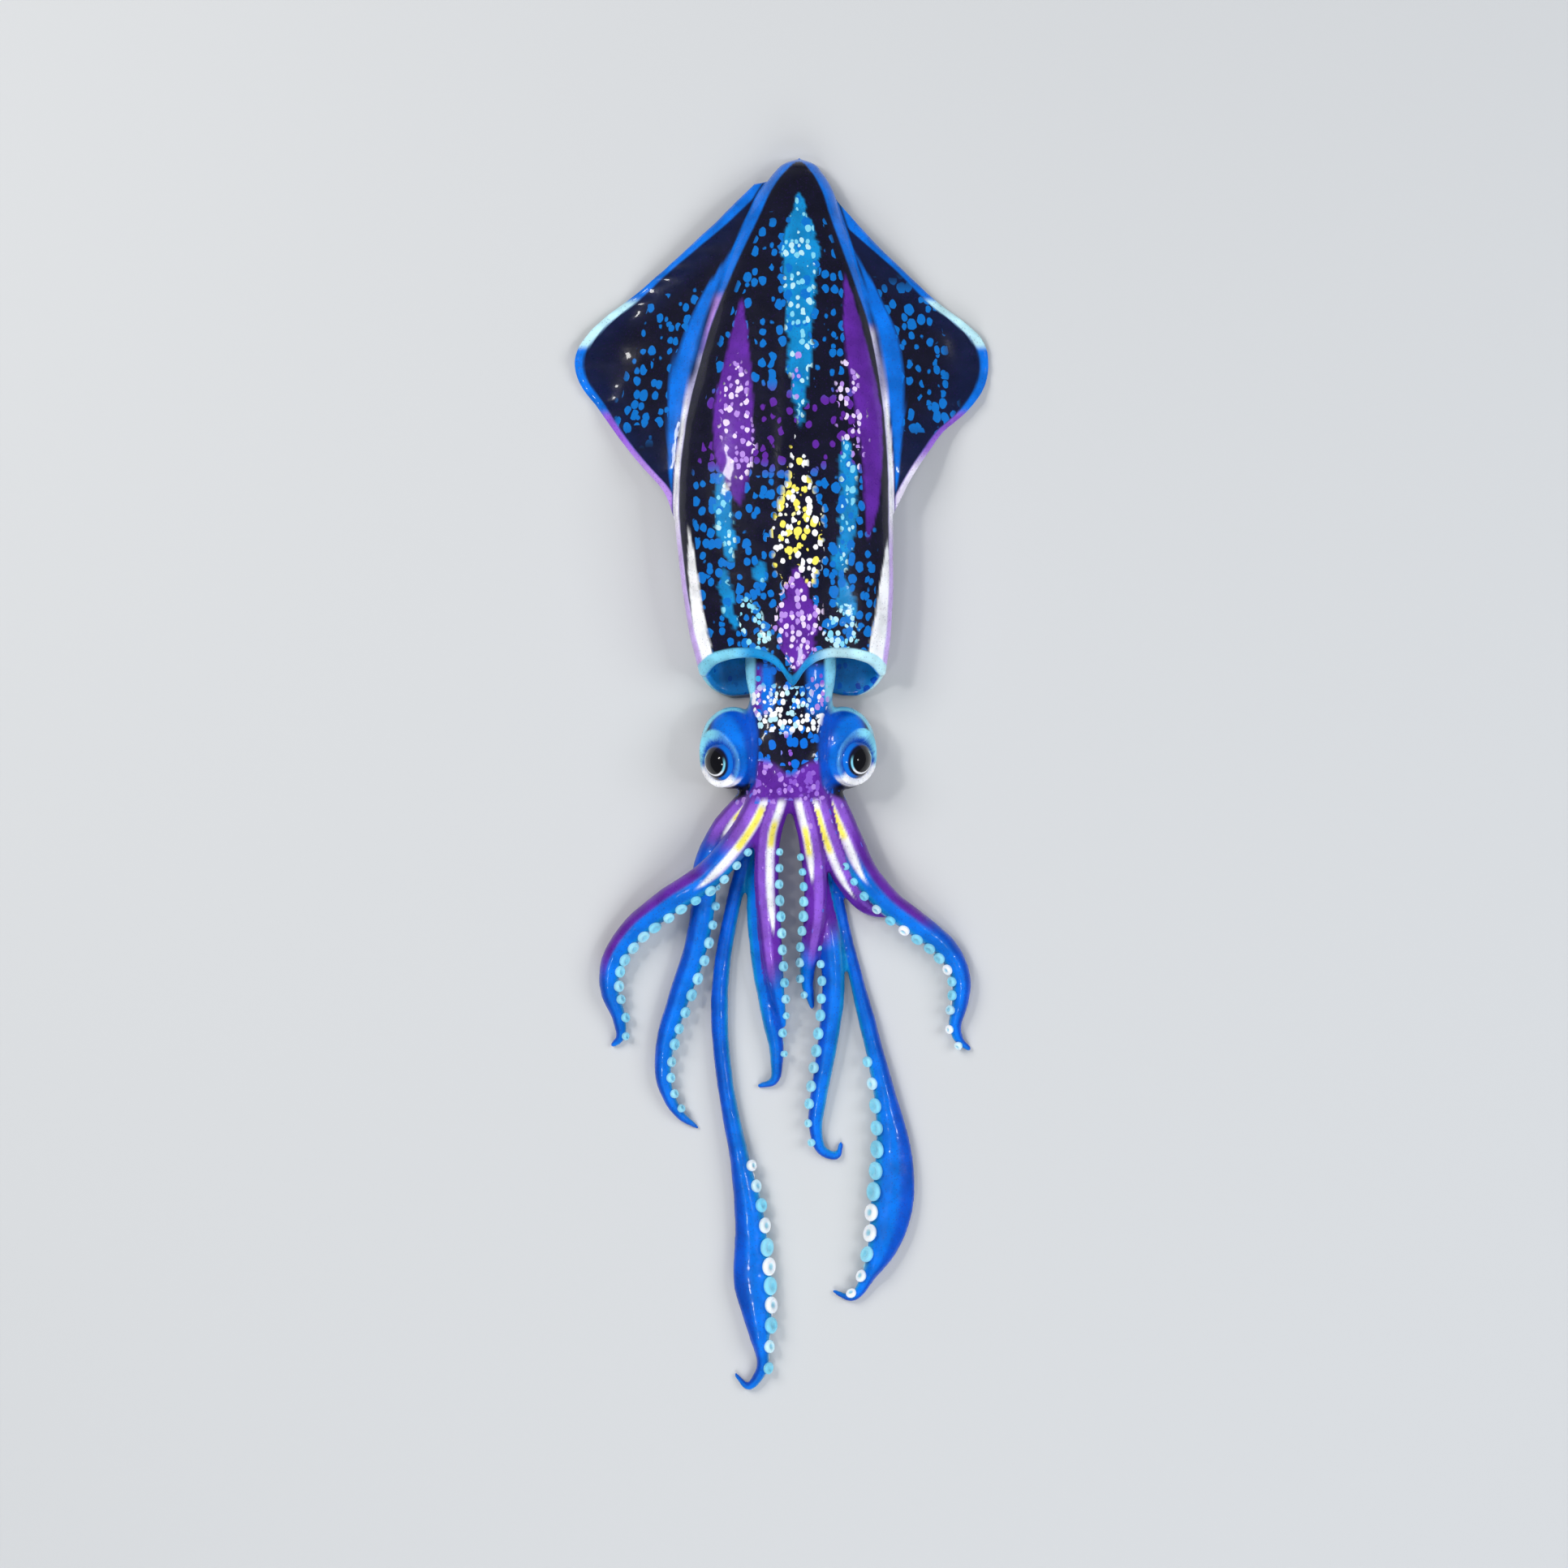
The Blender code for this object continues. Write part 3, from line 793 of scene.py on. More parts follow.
@dataclass
class Mantle:
    """The mantle and its two fins, as one skin with the hollow at the front."""

    length: float = 200.0
    tail_y: float = 236.8
    half_width: Curve = Curve((
        (0, 0), (2.5, 5.6), (6, 9.0), (13, 13.6), (23, 17.6), (35, 22.0), (48, 26.3), (63, 30.6),
        (77, 34.0), (90, 36.8), (104, 39.1), (122, 41.0), (140, 41.5), (155, 40.9), (171, 39.8),
        (185, 38.3), (200, 35.6),
    ))
    axis_x: Curve = Curve(
        ((0, 7.0), (35, 4.5), (77, 2.9), (104, 1.6), (140, 1.1), (171, 2.8), (200, 4.4))
    )
    left_edge: Curve = Curve((
        (9.9, -9.5), (29.5, -29.6), (50.2, -52.9), (66.7, -73.6), (72.2, -77.5), (79.4, -79.2),
        (86.2, -77.4), (95.8, -70.4), (107, -62.8), (119.4, -52.9), (129, -44.8), (140, -40.4),
    ))
    right_edge: Curve = Curve((
        (12.5, 17.5), (27.9, 30.6), (37.8, 40.2), (47.4, 50.9), (57, 62.0), (64.2, 71.5),
        (71, 77.8), (79.4, 79.6), (90.2, 77.0), (98.6, 70.2), (105.4, 62.4), (113.8, 56.3),
        (125, 49.4), (138, 42.6),
    ))
    back_edge: Curve = Curve((
        (0, 202.4), (0.04, 201.2), (0.12, 196.9), (0.22, 193.9), (0.37, 191.9), (0.52, 191.6),
        (0.74, 192.5), (0.9, 194.6), (1.0, 198.0),
    ))
    belly_edge: Curve = Curve(
        ((0, 199.0), (0.3, 202.6), (0.6, 205.2), (0.8, 204.6), (0.92, 201.8), (1.0, 198.0))
    )
    widest_half: float = 41.5
    back_rise: float = 20.0
    belly_drop: float = 14.6
    belly_sink: float = 0.7
    edge_shaping_start: float = 168.0
    wall: float = 3.6
    cavity_depth: float = 24.0
    ridge_height: float = 0.7
    ridge_width: float = 3.2
    back_power: float = 2.15
    belly_power: float = 3.0
    root_share: float = 0.97
    lip_bulge: float = 1.3
    fin_root_thickness: float = 5.0
    fin_edge_thickness: float = 1.5
    fin_thinning: float = 10.0
    fin_droop_length: float = 34.0
    fin_ripple: float = 2.2
    fin_ripple_pitch: float = 31.0
    frill: float = 0.45
    frill_pitch: float = 8.5
    folds: tuple[float, float] = (26.0, 0.9)
    pores: tuple[float, float] = (5.0, 0.16)
    back_points: int = 44
    fin_points: int = 38
    rings: int = 262
    lip_rings: int = 9
    inner_rings: int = 26

    def reach(self, distance: float, side: int, half: float, axis: float) -> float:
        """How far the mantle with its fin reaches to one side of the axis.

        Args:
            distance: from the tail tip.
            side: -1 for the left, 1 for the right.
            half: the mantle's half width there.
            axis: the axis' x there.

        Returns:
            The reach.
        """
        edge = self.left_edge if side < 0 else self.right_edge
        if not edge.stations[0][0] < distance < edge.stations[-1][0]:
            return half
        return max(half, side * (float(edge.at(distance)) - axis))

    def heights(self, half: Array) -> tuple[Array, Array, Array]:
        """The heights of a cross-section.

        Args:
            half: its half width.

        Returns:
            How far the back rises over the widest line, how far the belly drops below it, and the
            height of that line.
        """
        size = (half / self.widest_half) ** 0.75
        drop = self.belly_drop * size
        return self.back_rise * size, drop, np.maximum(drop - self.belly_sink, 0.6 * drop)

    def half_profile(self, distance: float, side: int, wall: float) -> dict[str, Array]:
        """One side of a cross-section, from the axis out to the fin's edge.

        Args:
            distance: from the tail tip.
            side: -1 for the left, 1 for the right.
            wall: how far inside the outer skin the section lies.

        Returns:
            x, the back's and the belly's height, and what the paint is placed by.
        """
        half = float(self.half_width.at(distance))
        axis = float(self.axis_x.at(distance))
        reach = self.reach(distance, side, half, axis)
        rise, drop, middle = self.heights(half)
        fin = reach - half
        half, rise, drop, reach = half - wall, rise - wall, drop - wall, reach - wall
        root = self.root_share * half
        on_back = root * np.sin(np.linspace(0, math.pi / 2, self.back_points + 1))
        on_fin = root + (reach - root) * np.sin(
            np.linspace(0, math.pi / 2, self.fin_points + 1)[1:]
        )
        offset = np.concatenate((on_back, on_fin))
        share = np.minimum(offset / half, 1)
        past = np.maximum(offset - half, 0)
        back = middle + rise * (1 - share**self.back_power) ** (1 / self.back_power) - 2 * past
        ridge = np.exp(-((offset / self.ridge_width) ** 2))
        back += self.ridge_height * ridge * ease(distance / 30)
        belly = middle - drop * (1 - share**self.belly_power) ** (1 / self.belly_power) + 2 * past
        if fin > 0:
            back, belly = self.add_fin(distance, side, fin, middle, past, back, belly)
        belly = np.maximum(belly, wall)
        return {
            "x": axis + side * offset,
            "back": np.maximum(back, belly),
            "belly": belly,
            "share": side * offset / half,
            "past": past,
            "gap": reach - offset,
        }

    def add_fin(
        self, distance: float, side: int, fin: float, middle: float, past: Array, back: Array,
        belly: Array,
    ) -> tuple[Array, Array]:
        """Blends the thin, drooping and gently rippled fin onto the mantle's side.

        Args:
            distance: from the tail tip.
            side: -1 for the left, 1 for the right.
            fin: how far the fin stands out here.
            middle: the height of the mantle's widest line.
            past: each point's distance beyond the mantle.
            back: the mantle's upper height.
            belly: the mantle's lower height.

        Returns:
            The upper and the lower height with the fin.
        """
        grown = float(ease(fin / 12))
        fall = ease(past / self.fin_droop_length)
        wave = 0.5 + 0.5 * math.sin(2 * math.pi * distance / self.fin_ripple_pitch + side)
        rest = 1.2 + wave * self.fin_ripple * fall
        level = middle + 2 * grown
        level = level + (rest - level) * fall
        near_edge = ease(1 - (fin - past) / 16) * min(fin / 30, 1)
        turn = 2 * math.pi * distance / self.frill_pitch
        level += self.frill * near_edge * (1 + math.sin(turn + 2 * side) * math.cos(0.37 * turn))
        thin = np.exp(-past / self.fin_thinning)
        thick = self.fin_edge_thickness
        thick = thick + (self.fin_root_thickness - self.fin_edge_thickness) * thin
        thick *= grown * np.sqrt(np.clip((fin - past) / 1.5, 0, 1))
        fillet = min(4.0, 1.5 * fin)
        return (
            blend_up(back, level + thick / 2, fillet),
            -blend_up(-belly, -(level - thick / 2), fillet),
        )

    def ring(self, distance: float, wall: float = 0.0, shift: float = 0.0) -> Array:
        """One ring round the mantle and its fins.

        Args:
            distance: from the tail tip, along the axis.
            wall: how far inside the outer skin it lies.
            shift: how far it is moved forwards.

        Returns:
            Rows of x, y, z, share of the half width, distance past the mantle, gap to the fin's
            edge, nominal distance, and the face's number.
        """
        sides = {side: self.half_profile(distance, side, wall) for side in (-1, 1)}
        last = self.back_points + self.fin_points
        share = np.minimum(np.abs(sides[1]["share"]), 1)
        span = self.length - self.edge_shaping_start
        shaping = float(ease((distance - self.edge_shaping_start) / span))
        over = distance + (self.back_edge.at(share) - self.length) * shaping + shift
        under = distance + (self.belly_edge.at(share) - self.length) * shaping + shift
        order = (
            (-1, "back", range(last, 0, -1)),
            (1, "back", range(0, last + 1)),
            (1, "belly", range(last - 1, -1, -1)),
            (-1, "belly", range(1, last)),
        )
        rows = []
        for side, face, numbers in order:
            part, picked = sides[side], list(numbers)
            along = over if face == "back" else under
            number = Face.INSIDE.value if wall > self.wall / 2 else Face[face.upper()].value
            rows.append(np.stack((
                part["x"][picked], self.tail_y - along[picked], part[face][picked],
                part["share"][picked], part["past"][picked], part["gap"][picked],
                np.full(len(picked), distance), np.full(len(picked), number),
            ), axis=1))
        return np.concatenate(rows)

    def build(self, material: bpy.types.Material) -> bpy.types.Object:
        """Makes the mantle's skin.

        Args:
            material: the skin's material.

        Returns:
            The object.
        """
        near_tail = np.array((0.25, 0.7, 1.3, 2.0, 2.8, 3.7))
        rings = [self.ring(d) for d in (*near_tail, *np.linspace(4.6, self.length, self.rings))]
        for turn in np.linspace(0, math.pi, self.lip_rings)[1:]:
            wall = self.wall / 2 * (1 - math.cos(turn))
            rings.append(self.ring(self.length, wall, self.lip_bulge * math.sin(turn)))
        for depth in np.linspace(0, self.cavity_depth, self.inner_rings)[1:]:
            rings.append(self.ring(self.length - depth, self.wall))
        info = np.concatenate(rings)
        floor_y = self.tail_y - self.length + self.cavity_depth + 1.5
        ends = np.zeros((2, info.shape[1]))
        ends[0, :3] = (self.axis_x.at(0), self.tail_y, 1.6)
        ends[1, :3] = (self.axis_x.at(self.length - self.cavity_depth), floor_y, 14.0)
        ends[1, 6:] = (self.length - self.cavity_depth, Face.INSIDE.value)
        info = np.concatenate((info, ends))
        made = mesh_object("mantle_skin", info[:, :3], loft_faces(len(rings), len(rings[0])))
        self.paint(made.data, info)
        ripple_surface(made, "mantle_folds", *self.folds)
        ripple_surface(made, "mantle_pores", *self.pores)
        points = vertices_of(made.data)
        points[:, 2] = np.maximum(points[:, 2], 0)
        move_vertices(made.data, points)
        dress(made, material, "mantle")
        return made

    def paint(self, mesh: bpy.types.Mesh, info: Array) -> None:
        """Lays the mantle's colours.

        Args:
            mesh: the mantle's mesh.
            info: the rows that ring() gives.
        """
        x, y, z, share, past, gap, nominal, number = info.T
        distance = self.tail_y - y
        half = self.half_width.at(nominal)
        sites = Sites(x, distance, half * (1 - np.abs(share)), past, gap)
        level = z / self.heights(half)[2]
        back = (number == Face.BACK.value).astype(float)
        belly = (number == Face.BELLY.value).astype(float)
        inside = (number == Face.INSIDE.value).astype(float)
        fin = ease((past - 0.6) / 1.2)
        paint = Paint(len(info), plain(Tint.INK))
        self.paint_back(paint, sites, back * (1 - fin))
        paint.lay(belly * ease((1 - level) / 0.3), BELLY_LOOK)
        self.paint_fins(paint, sites, fin)
        paint.lay(belly * fin * 0.4 * ease((gap - 5) / 3), Look(Tint.DEEP_BLUE))
        outer = (1 - inside) * ease((level - 0.7) / 0.24)
        self.paint_sides(paint, sites, outer)
        rim = ease((nominal - self.length + 2.8) / 0.8) * (1 - inside)
        paint.lay(rim, plain(Tint.TEAL))
        paint.lay(rim * ease((np.abs(share) - 0.4) / 0.3), plain(Tint.CYAN))
        paint.lay(rim * ease((share - 0.15) / 0.3), plain(Tint.PALE))
        paint.lay(inside, Look(Tint.BLUE, (Tint.DEEP_BLUE, 0.25), (Tint.BLUE, Tint.TEAL, 0.1)))
        # Painted light: the wall inside the hollow is lifted towards sky blue against the shade in
        # it.
        paint.lay(inside * 0.42, Look(Tint.SKY))
        paint.lay(inside * ease((self.length - nominal - 12) / 12), plain(Tint.INK))
        paint.write(mesh)

    def paint_back(self, paint: Paint, sites: Sites, back: Array) -> None:
        """Lays the colours of the mantle's back.

        Args:
            paint: the mantle's paint.
            sites: where its vertices lie.
            back: 1 on the back.
        """
        for start, end, nearest, look in BACK_ZONES:
            zone = within(sites.distance, start, end, 9) * ease((sites.inset - nearest) / 3)
            paint.lay(zone * back, look)
        for leaf, look in MANTLE_PATCHES:
            paint.lay(leaf.mask(sites.x, sites.distance) * back, look)

    def paint_fins(self, paint: Paint, sites: Sites, fin: Array) -> None:
        """Lays the colours of the fins.

        Args:
            paint: the mantle's paint.
            sites: where its vertices lie.
            fin: 1 on a fin.
        """
        distance, past, gap = sites.distance, sites.past, sites.gap
        paint.lay(fin, plain(Tint.INK))
        paint.lay(fin * ease((24 - gap) / 20) * 0.5, Look(Tint.NAVY))
        dotted = within(distance, 50, 108, 12) * within(past, 1, 27, 6)
        paint.lay(dotted * fin, Look(dots=(Tint.AZURE, 0.70)))
        band = FIN_ROOT_BAND.at(distance)
        root = ease((band - past) / 1.1 + 0.5) * ease(past / 0.8) * ease(band / 1.5)
        paint.lay(root * fin, plain(Tint.BLUE))
        width = FIN_EDGE_BAND.at(distance)
        edge = ease((width - gap) / 1.2 + 0.5) * fin
        paint.lay(edge, plain(Tint.BLUE))
        paint.lay(edge * within(distance, 55, 73, 3), plain(Tint.PALE))
        paint.lay(edge * ease((distance - 96) / 4), plain(Tint.MAUVE))
        paint.lay(edge * ease((distance - 106) / 18), plain(Tint.LILAC))
        paint.lay(edge * (sites.x > 0) * ease((distance - 112) / 10) * 0.7, plain(Tint.WHITE))

    def paint_sides(self, paint: Paint, sites: Sites, outer: Array) -> None:
        """Lays the bright line down each side of the mantle.

        Args:
            paint: the mantle's paint.
            sites: where its vertices lie.
            outer: 1 on the outer skin, down to a little below the widest line.
        """
        distance = sites.distance
        line = ease((SIDE_LINE.at(distance) - sites.inset) / 0.9 + 0.5)
        line *= ease((0.5 - sites.past) / 0.8 + 0.5) * outer
        paint.lay(line, plain(Tint.BLUE))
        left = (sites.x < 0).astype(float)
        paint.lay(line * ease((distance - 64 + 12 * left) / 5), plain(Tint.LILAC))
        paint.lay(line * ease((distance - 65 - 10 * left) / 5), plain(Tint.WHITE))
        paint.lay(line * ease((distance - 132) / 24) * 0.85, plain(Tint.LILAC))


BELLY_LOOK = Look(Tint.BELLY, (Tint.MAUVE, 0.10), (Tint.MAUVE, Tint.VIOLET, 0.16))
BLUE_DOTS = Look(dots=(Tint.AZURE, 0.56))
TEAL_SKIN = Look(Tint.TEAL, (Tint.AZURE, 0.3), (Tint.CYAN, Tint.PALE, 0.62))
STREAK_SKIN = Look(Tint.TEAL, (Tint.AZURE, 0.4), (Tint.CYAN, Tint.CYAN, 0.08))
VIOLET_SKIN = Look(Tint.VIOLET, (Tint.VIOLET, 0.0))
LILAC_SPECKS = Look(specks=(Tint.LILAC, Tint.PEARL, 0.66))
CYAN_SPECKS = Look(specks=(Tint.CYAN, Tint.PALE, 0.80))
MIXED_SPECKS = Look(specks=(Tint.LILAC, Tint.PALE, 0.7))
GOLD_SPECKS = Look(dots=(Tint.GOLD, 0.32), specks=(Tint.GOLD, Tint.WHITE, 0.82))

# Bands of dots across the back: where each starts and ends, how far inside the outline it stays,
# and its look.
BACK_ZONES = (
    (24, 102, 5.0, BLUE_DOTS),
    (92, 132, 6.0, Look(dots=(Tint.VIOLET, 0.50))),
    (122, 198, 5.0, Look(dots=(Tint.AZURE, 0.72))),
)


def strip(look: Look, middle: Stations, half: Stations, **edge: float) -> tuple[Leaf, Look]:
    """A patch on the back, with its look.

    Args:
        look: its look.
        middle: x of its middle line, by the distance from the tail tip.
        half: its half width, by the same distance.
        edge: how soft and how ragged its edge is.

    Returns:
        The patch and its look.
    """
    return Leaf(Curve(middle), Curve(half), **edge), look


# Patches on the back, from the lowest layer of paint to the highest.
MANTLE_PATCHES = (
    strip(VIOLET_SKIN, ((55, -14.7), (80, -16.5), (96, -17.8), (120, -17.8), (137, -15.3)),
          ((55, 0), (80, 4.8), (98, 7.2), (120, 6.2), (137, 0)), ragged=0.3),
    strip(VIOLET_SKIN,
          ((45, 24), (71, 27.9), (96, 32.5), (121, 34.5), (136, 34.1), (150, 32.7)),
          ((45, 0), (71, 3.9), (96, 5.0), (121, 3.6), (136, 2.4), (150, 0)), ragged=0.3),
    strip(LILAC_SPECKS, ((76, -16), (100, -17), (130, -14)),
          ((76, 0), (90, 4.6), (112, 6.4), (130, 0))),
    strip(LILAC_SPECKS, ((78, 24.5), (100, 26.5), (124, 29)),
          ((78, 0), (90, 4.6), (110, 5.0), (124, 0))),
    strip(TEAL_SKIN, ((13, 6.5), (34, 7.4), (60, 7), (85, 7), (104, 6.8)),
          ((13, 0), (22, 2.6), (34, 6.4), (60, 5.0), (85, 3.8), (108, 0))),
    strip(GOLD_SPECKS, ((106, 6.6), (140, 6.2), (172, 6)),
          ((106, 0), (115, 2.2), (127, 4.6), (138, 8.4), (147, 9.8), (158, 8.4), (172, 2))),
    strip(VIOLET_SKIN, ((158, 6.0), (180, 6.6), (199, 6.2)),
          ((158, 0), (170, 4.6), (182, 7.2), (190, 5.6), (199, 0))),
    strip(LILAC_SPECKS, ((160, 6.0), (182, 6.6), (198, 6.2)),
          ((160, 2), (172, 8.0), (184, 9.0), (192, 6.6), (198, 1))),
    strip(TEAL_SKIN, ((122, -22.8), (140, -21.8), (160, -18.0)),
          ((122, 0), (132, 2.6), (146, 3.4), (160, 0))),
    strip(TEAL_SKIN, ((108, 23.8), (130, 25.5), (150, 24.5), (166, 22)),
          ((108, 0), (118, 2.4), (140, 3.0), (152, 2.6), (166, 0))),
    strip(STREAK_SKIN, ((158, -21.5), (170, -20.5), (184, -17.0)),
          ((158, 0), (164, 1.8), (176, 2.0), (184, 0))),
    strip(STREAK_SKIN, ((150, 20.5), (160, 22), (170, 24.5), (181, 26)),
          ((150, 0), (155, 1.7), (163, 1.3), (173, 3.4), (181, 0))),
    strip(STREAK_SKIN, ((156, -8), (166, -7.4)), ((156, 0), (160, 2.6), (163, 2.2), (166, 0))),
    strip(MIXED_SPECKS, ((74, 6.6), (98, 7.0)), ((74, 0), (82, 2.4), (92, 2.2), (98, 0))),
    strip(CYAN_SPECKS, ((168, -14.0), (191, -7.5)),
          ((168, 0), (176, 3.8), (186, 5.0), (192, 0))),
    strip(CYAN_SPECKS, ((172, 24.5), (191, 22)), ((172, 0), (179, 5.4), (187, 6.0), (192, 0))),
    strip(plain(Tint.WHITE), ((141, -35.4), (165, -33.0), (197, -28.8)),
          ((141, 0), (155, 1.3), (175, 2.2), (194, 3.0), (197, 2.6)), soft=0.7, ragged=0.2),
    strip(plain(Tint.WHITE), ((146, 40.4), (165, 39.2), (196, 36.6)),
          ((146, 0), (160, 1.4), (175, 2.4), (192, 3.8), (196, 3.4)), soft=0.7, ragged=0.2),
)
# Widths of the bright bands, in millimetres, by the distance from the tail tip.
FIN_ROOT_BAND = Curve(
    ((30, 0), (40, 1.5), (52, 5.0), (68, 8.0), (82, 8.8), (96, 7.0), (112, 4.2), (128, 1.6),
     (134, 0))
)
FIN_EDGE_BAND = Curve(
    ((9, 5.5), (25, 5.5), (45, 3.2), (58, 4.4), (70, 4.2), (78, 3.2), (92, 3.4), (100, 2.8),
     (140, 2.6))
)
SIDE_LINE = Curve(((0, 4.6), (30, 4.2), (50, 2.8), (62, 1.6), (110, 1.3), (150, 1.7), (200, 1.7)))


@dataclass(frozen=True)
class LimbLook:
    """Where the colours of a limb lie, as distances from its base."""

    violet_until: float
    # Painted highlight near the base: where its bright stripe and the yellow band in it lie.
    highlight_streak: tuple[float, float] | None = None
    highlight_gold: tuple[float, float] | None = None
    violet_edge: tuple[float, float] | None = None
    dark_side: int = -1
    deep_until: float = 0.0


@dataclass(frozen=True)
class Limb:
    """An arm or a tentacle, from the head to its tip."""

    name: str
    plan: tuple[tuple[float, float], ...]
    height: Curve
    look: LimbLook
    base: float = 0.0
    width: Curve | None = None
    thickest: float = 3.7
    tip: float = 0.7
    samples: int = 400

    def path(self) -> Array:
        """The limb's middle line.

        Returns:
            Rows of x, y, z, half width, half thickness and distance from the base.
        """
        plan = np.array(self.plan, float)
        gaps = np.linalg.norm(np.diff(plan, axis=0), axis=1)
        place = np.concatenate(([0], np.cumsum(gaps)))
        share = np.linspace(0, 1, self.samples)
        at = share * place[-1]
        x = Curve(tuple(zip(place, plan[:, 0]))).at(at)
        y = Curve(tuple(zip(place, plan[:, 1]))).at(at)
        if self.width is None:
            half = self.base * (1 - share**3) ** 0.75 + self.tip * share
            rise = half
        else:
            half = self.width.at(share)
            rise = np.minimum(half, self.thickest)
        z = np.maximum(self.height.at(share), rise)
        return np.stack((x, y, z, half, rise, at), axis=1)

    def directions(self, path: Array) -> tuple[Array, Array]:
        """The limb's own directions.

        Args:
            path: the rows that path() gives.

        Returns:
            The unit direction along it at each row, and the level one across it, which is +X
            where the limb runs towards -Y.
        """
        along = np.gradient(path[:, :3], axis=0)
        along /= np.linalg.norm(along, axis=1)[:, None]
        across = np.cross(np.array((0.0, 0.0, 1.0)), along)
        across /= np.linalg.norm(across, axis=1)[:, None]
        return along, across

    def shell(self, around: int, step: float) -> Shell:
        """The limb as a closed tube with a low keel along its top.

        Args:
            around: how many points a section has.
            step: the distance between sections.

        Returns:
            The vertices in millimetres and the faces.
        """
        path = self.path()
        every = max(1, round(step / (path[-1, 5] / len(path))))
        along, across = self.directions(path)
        path, along, across = path[::every], along[::every], across[::every]
        upward = np.cross(along, across)
        turns = np.linspace(0, 2 * math.pi, around, endpoint=False)
        keel = 1 + 0.07 * np.exp(-(((turns - math.pi / 2) / 0.35) ** 2))
        side = np.cos(turns)
        top = np.sin(turns) * keel
        rings = (
            path[:, None, :3]
            + across[:, None] * (path[:, 3, None] * side)[..., None]
            + upward[:, None] * (path[:, 4, None] * top)[..., None]
        )
        ends = np.stack((
            path[0, :3] - along[0] * 0.5,
            path[-1, :3] + along[-1] * path[-1, 3],
        ))
        points = np.concatenate((rings.reshape(-1, 3), ends))
        points[:, 2] = np.maximum(points[:, 2], 0)
        return points, loft_faces(len(path), around)


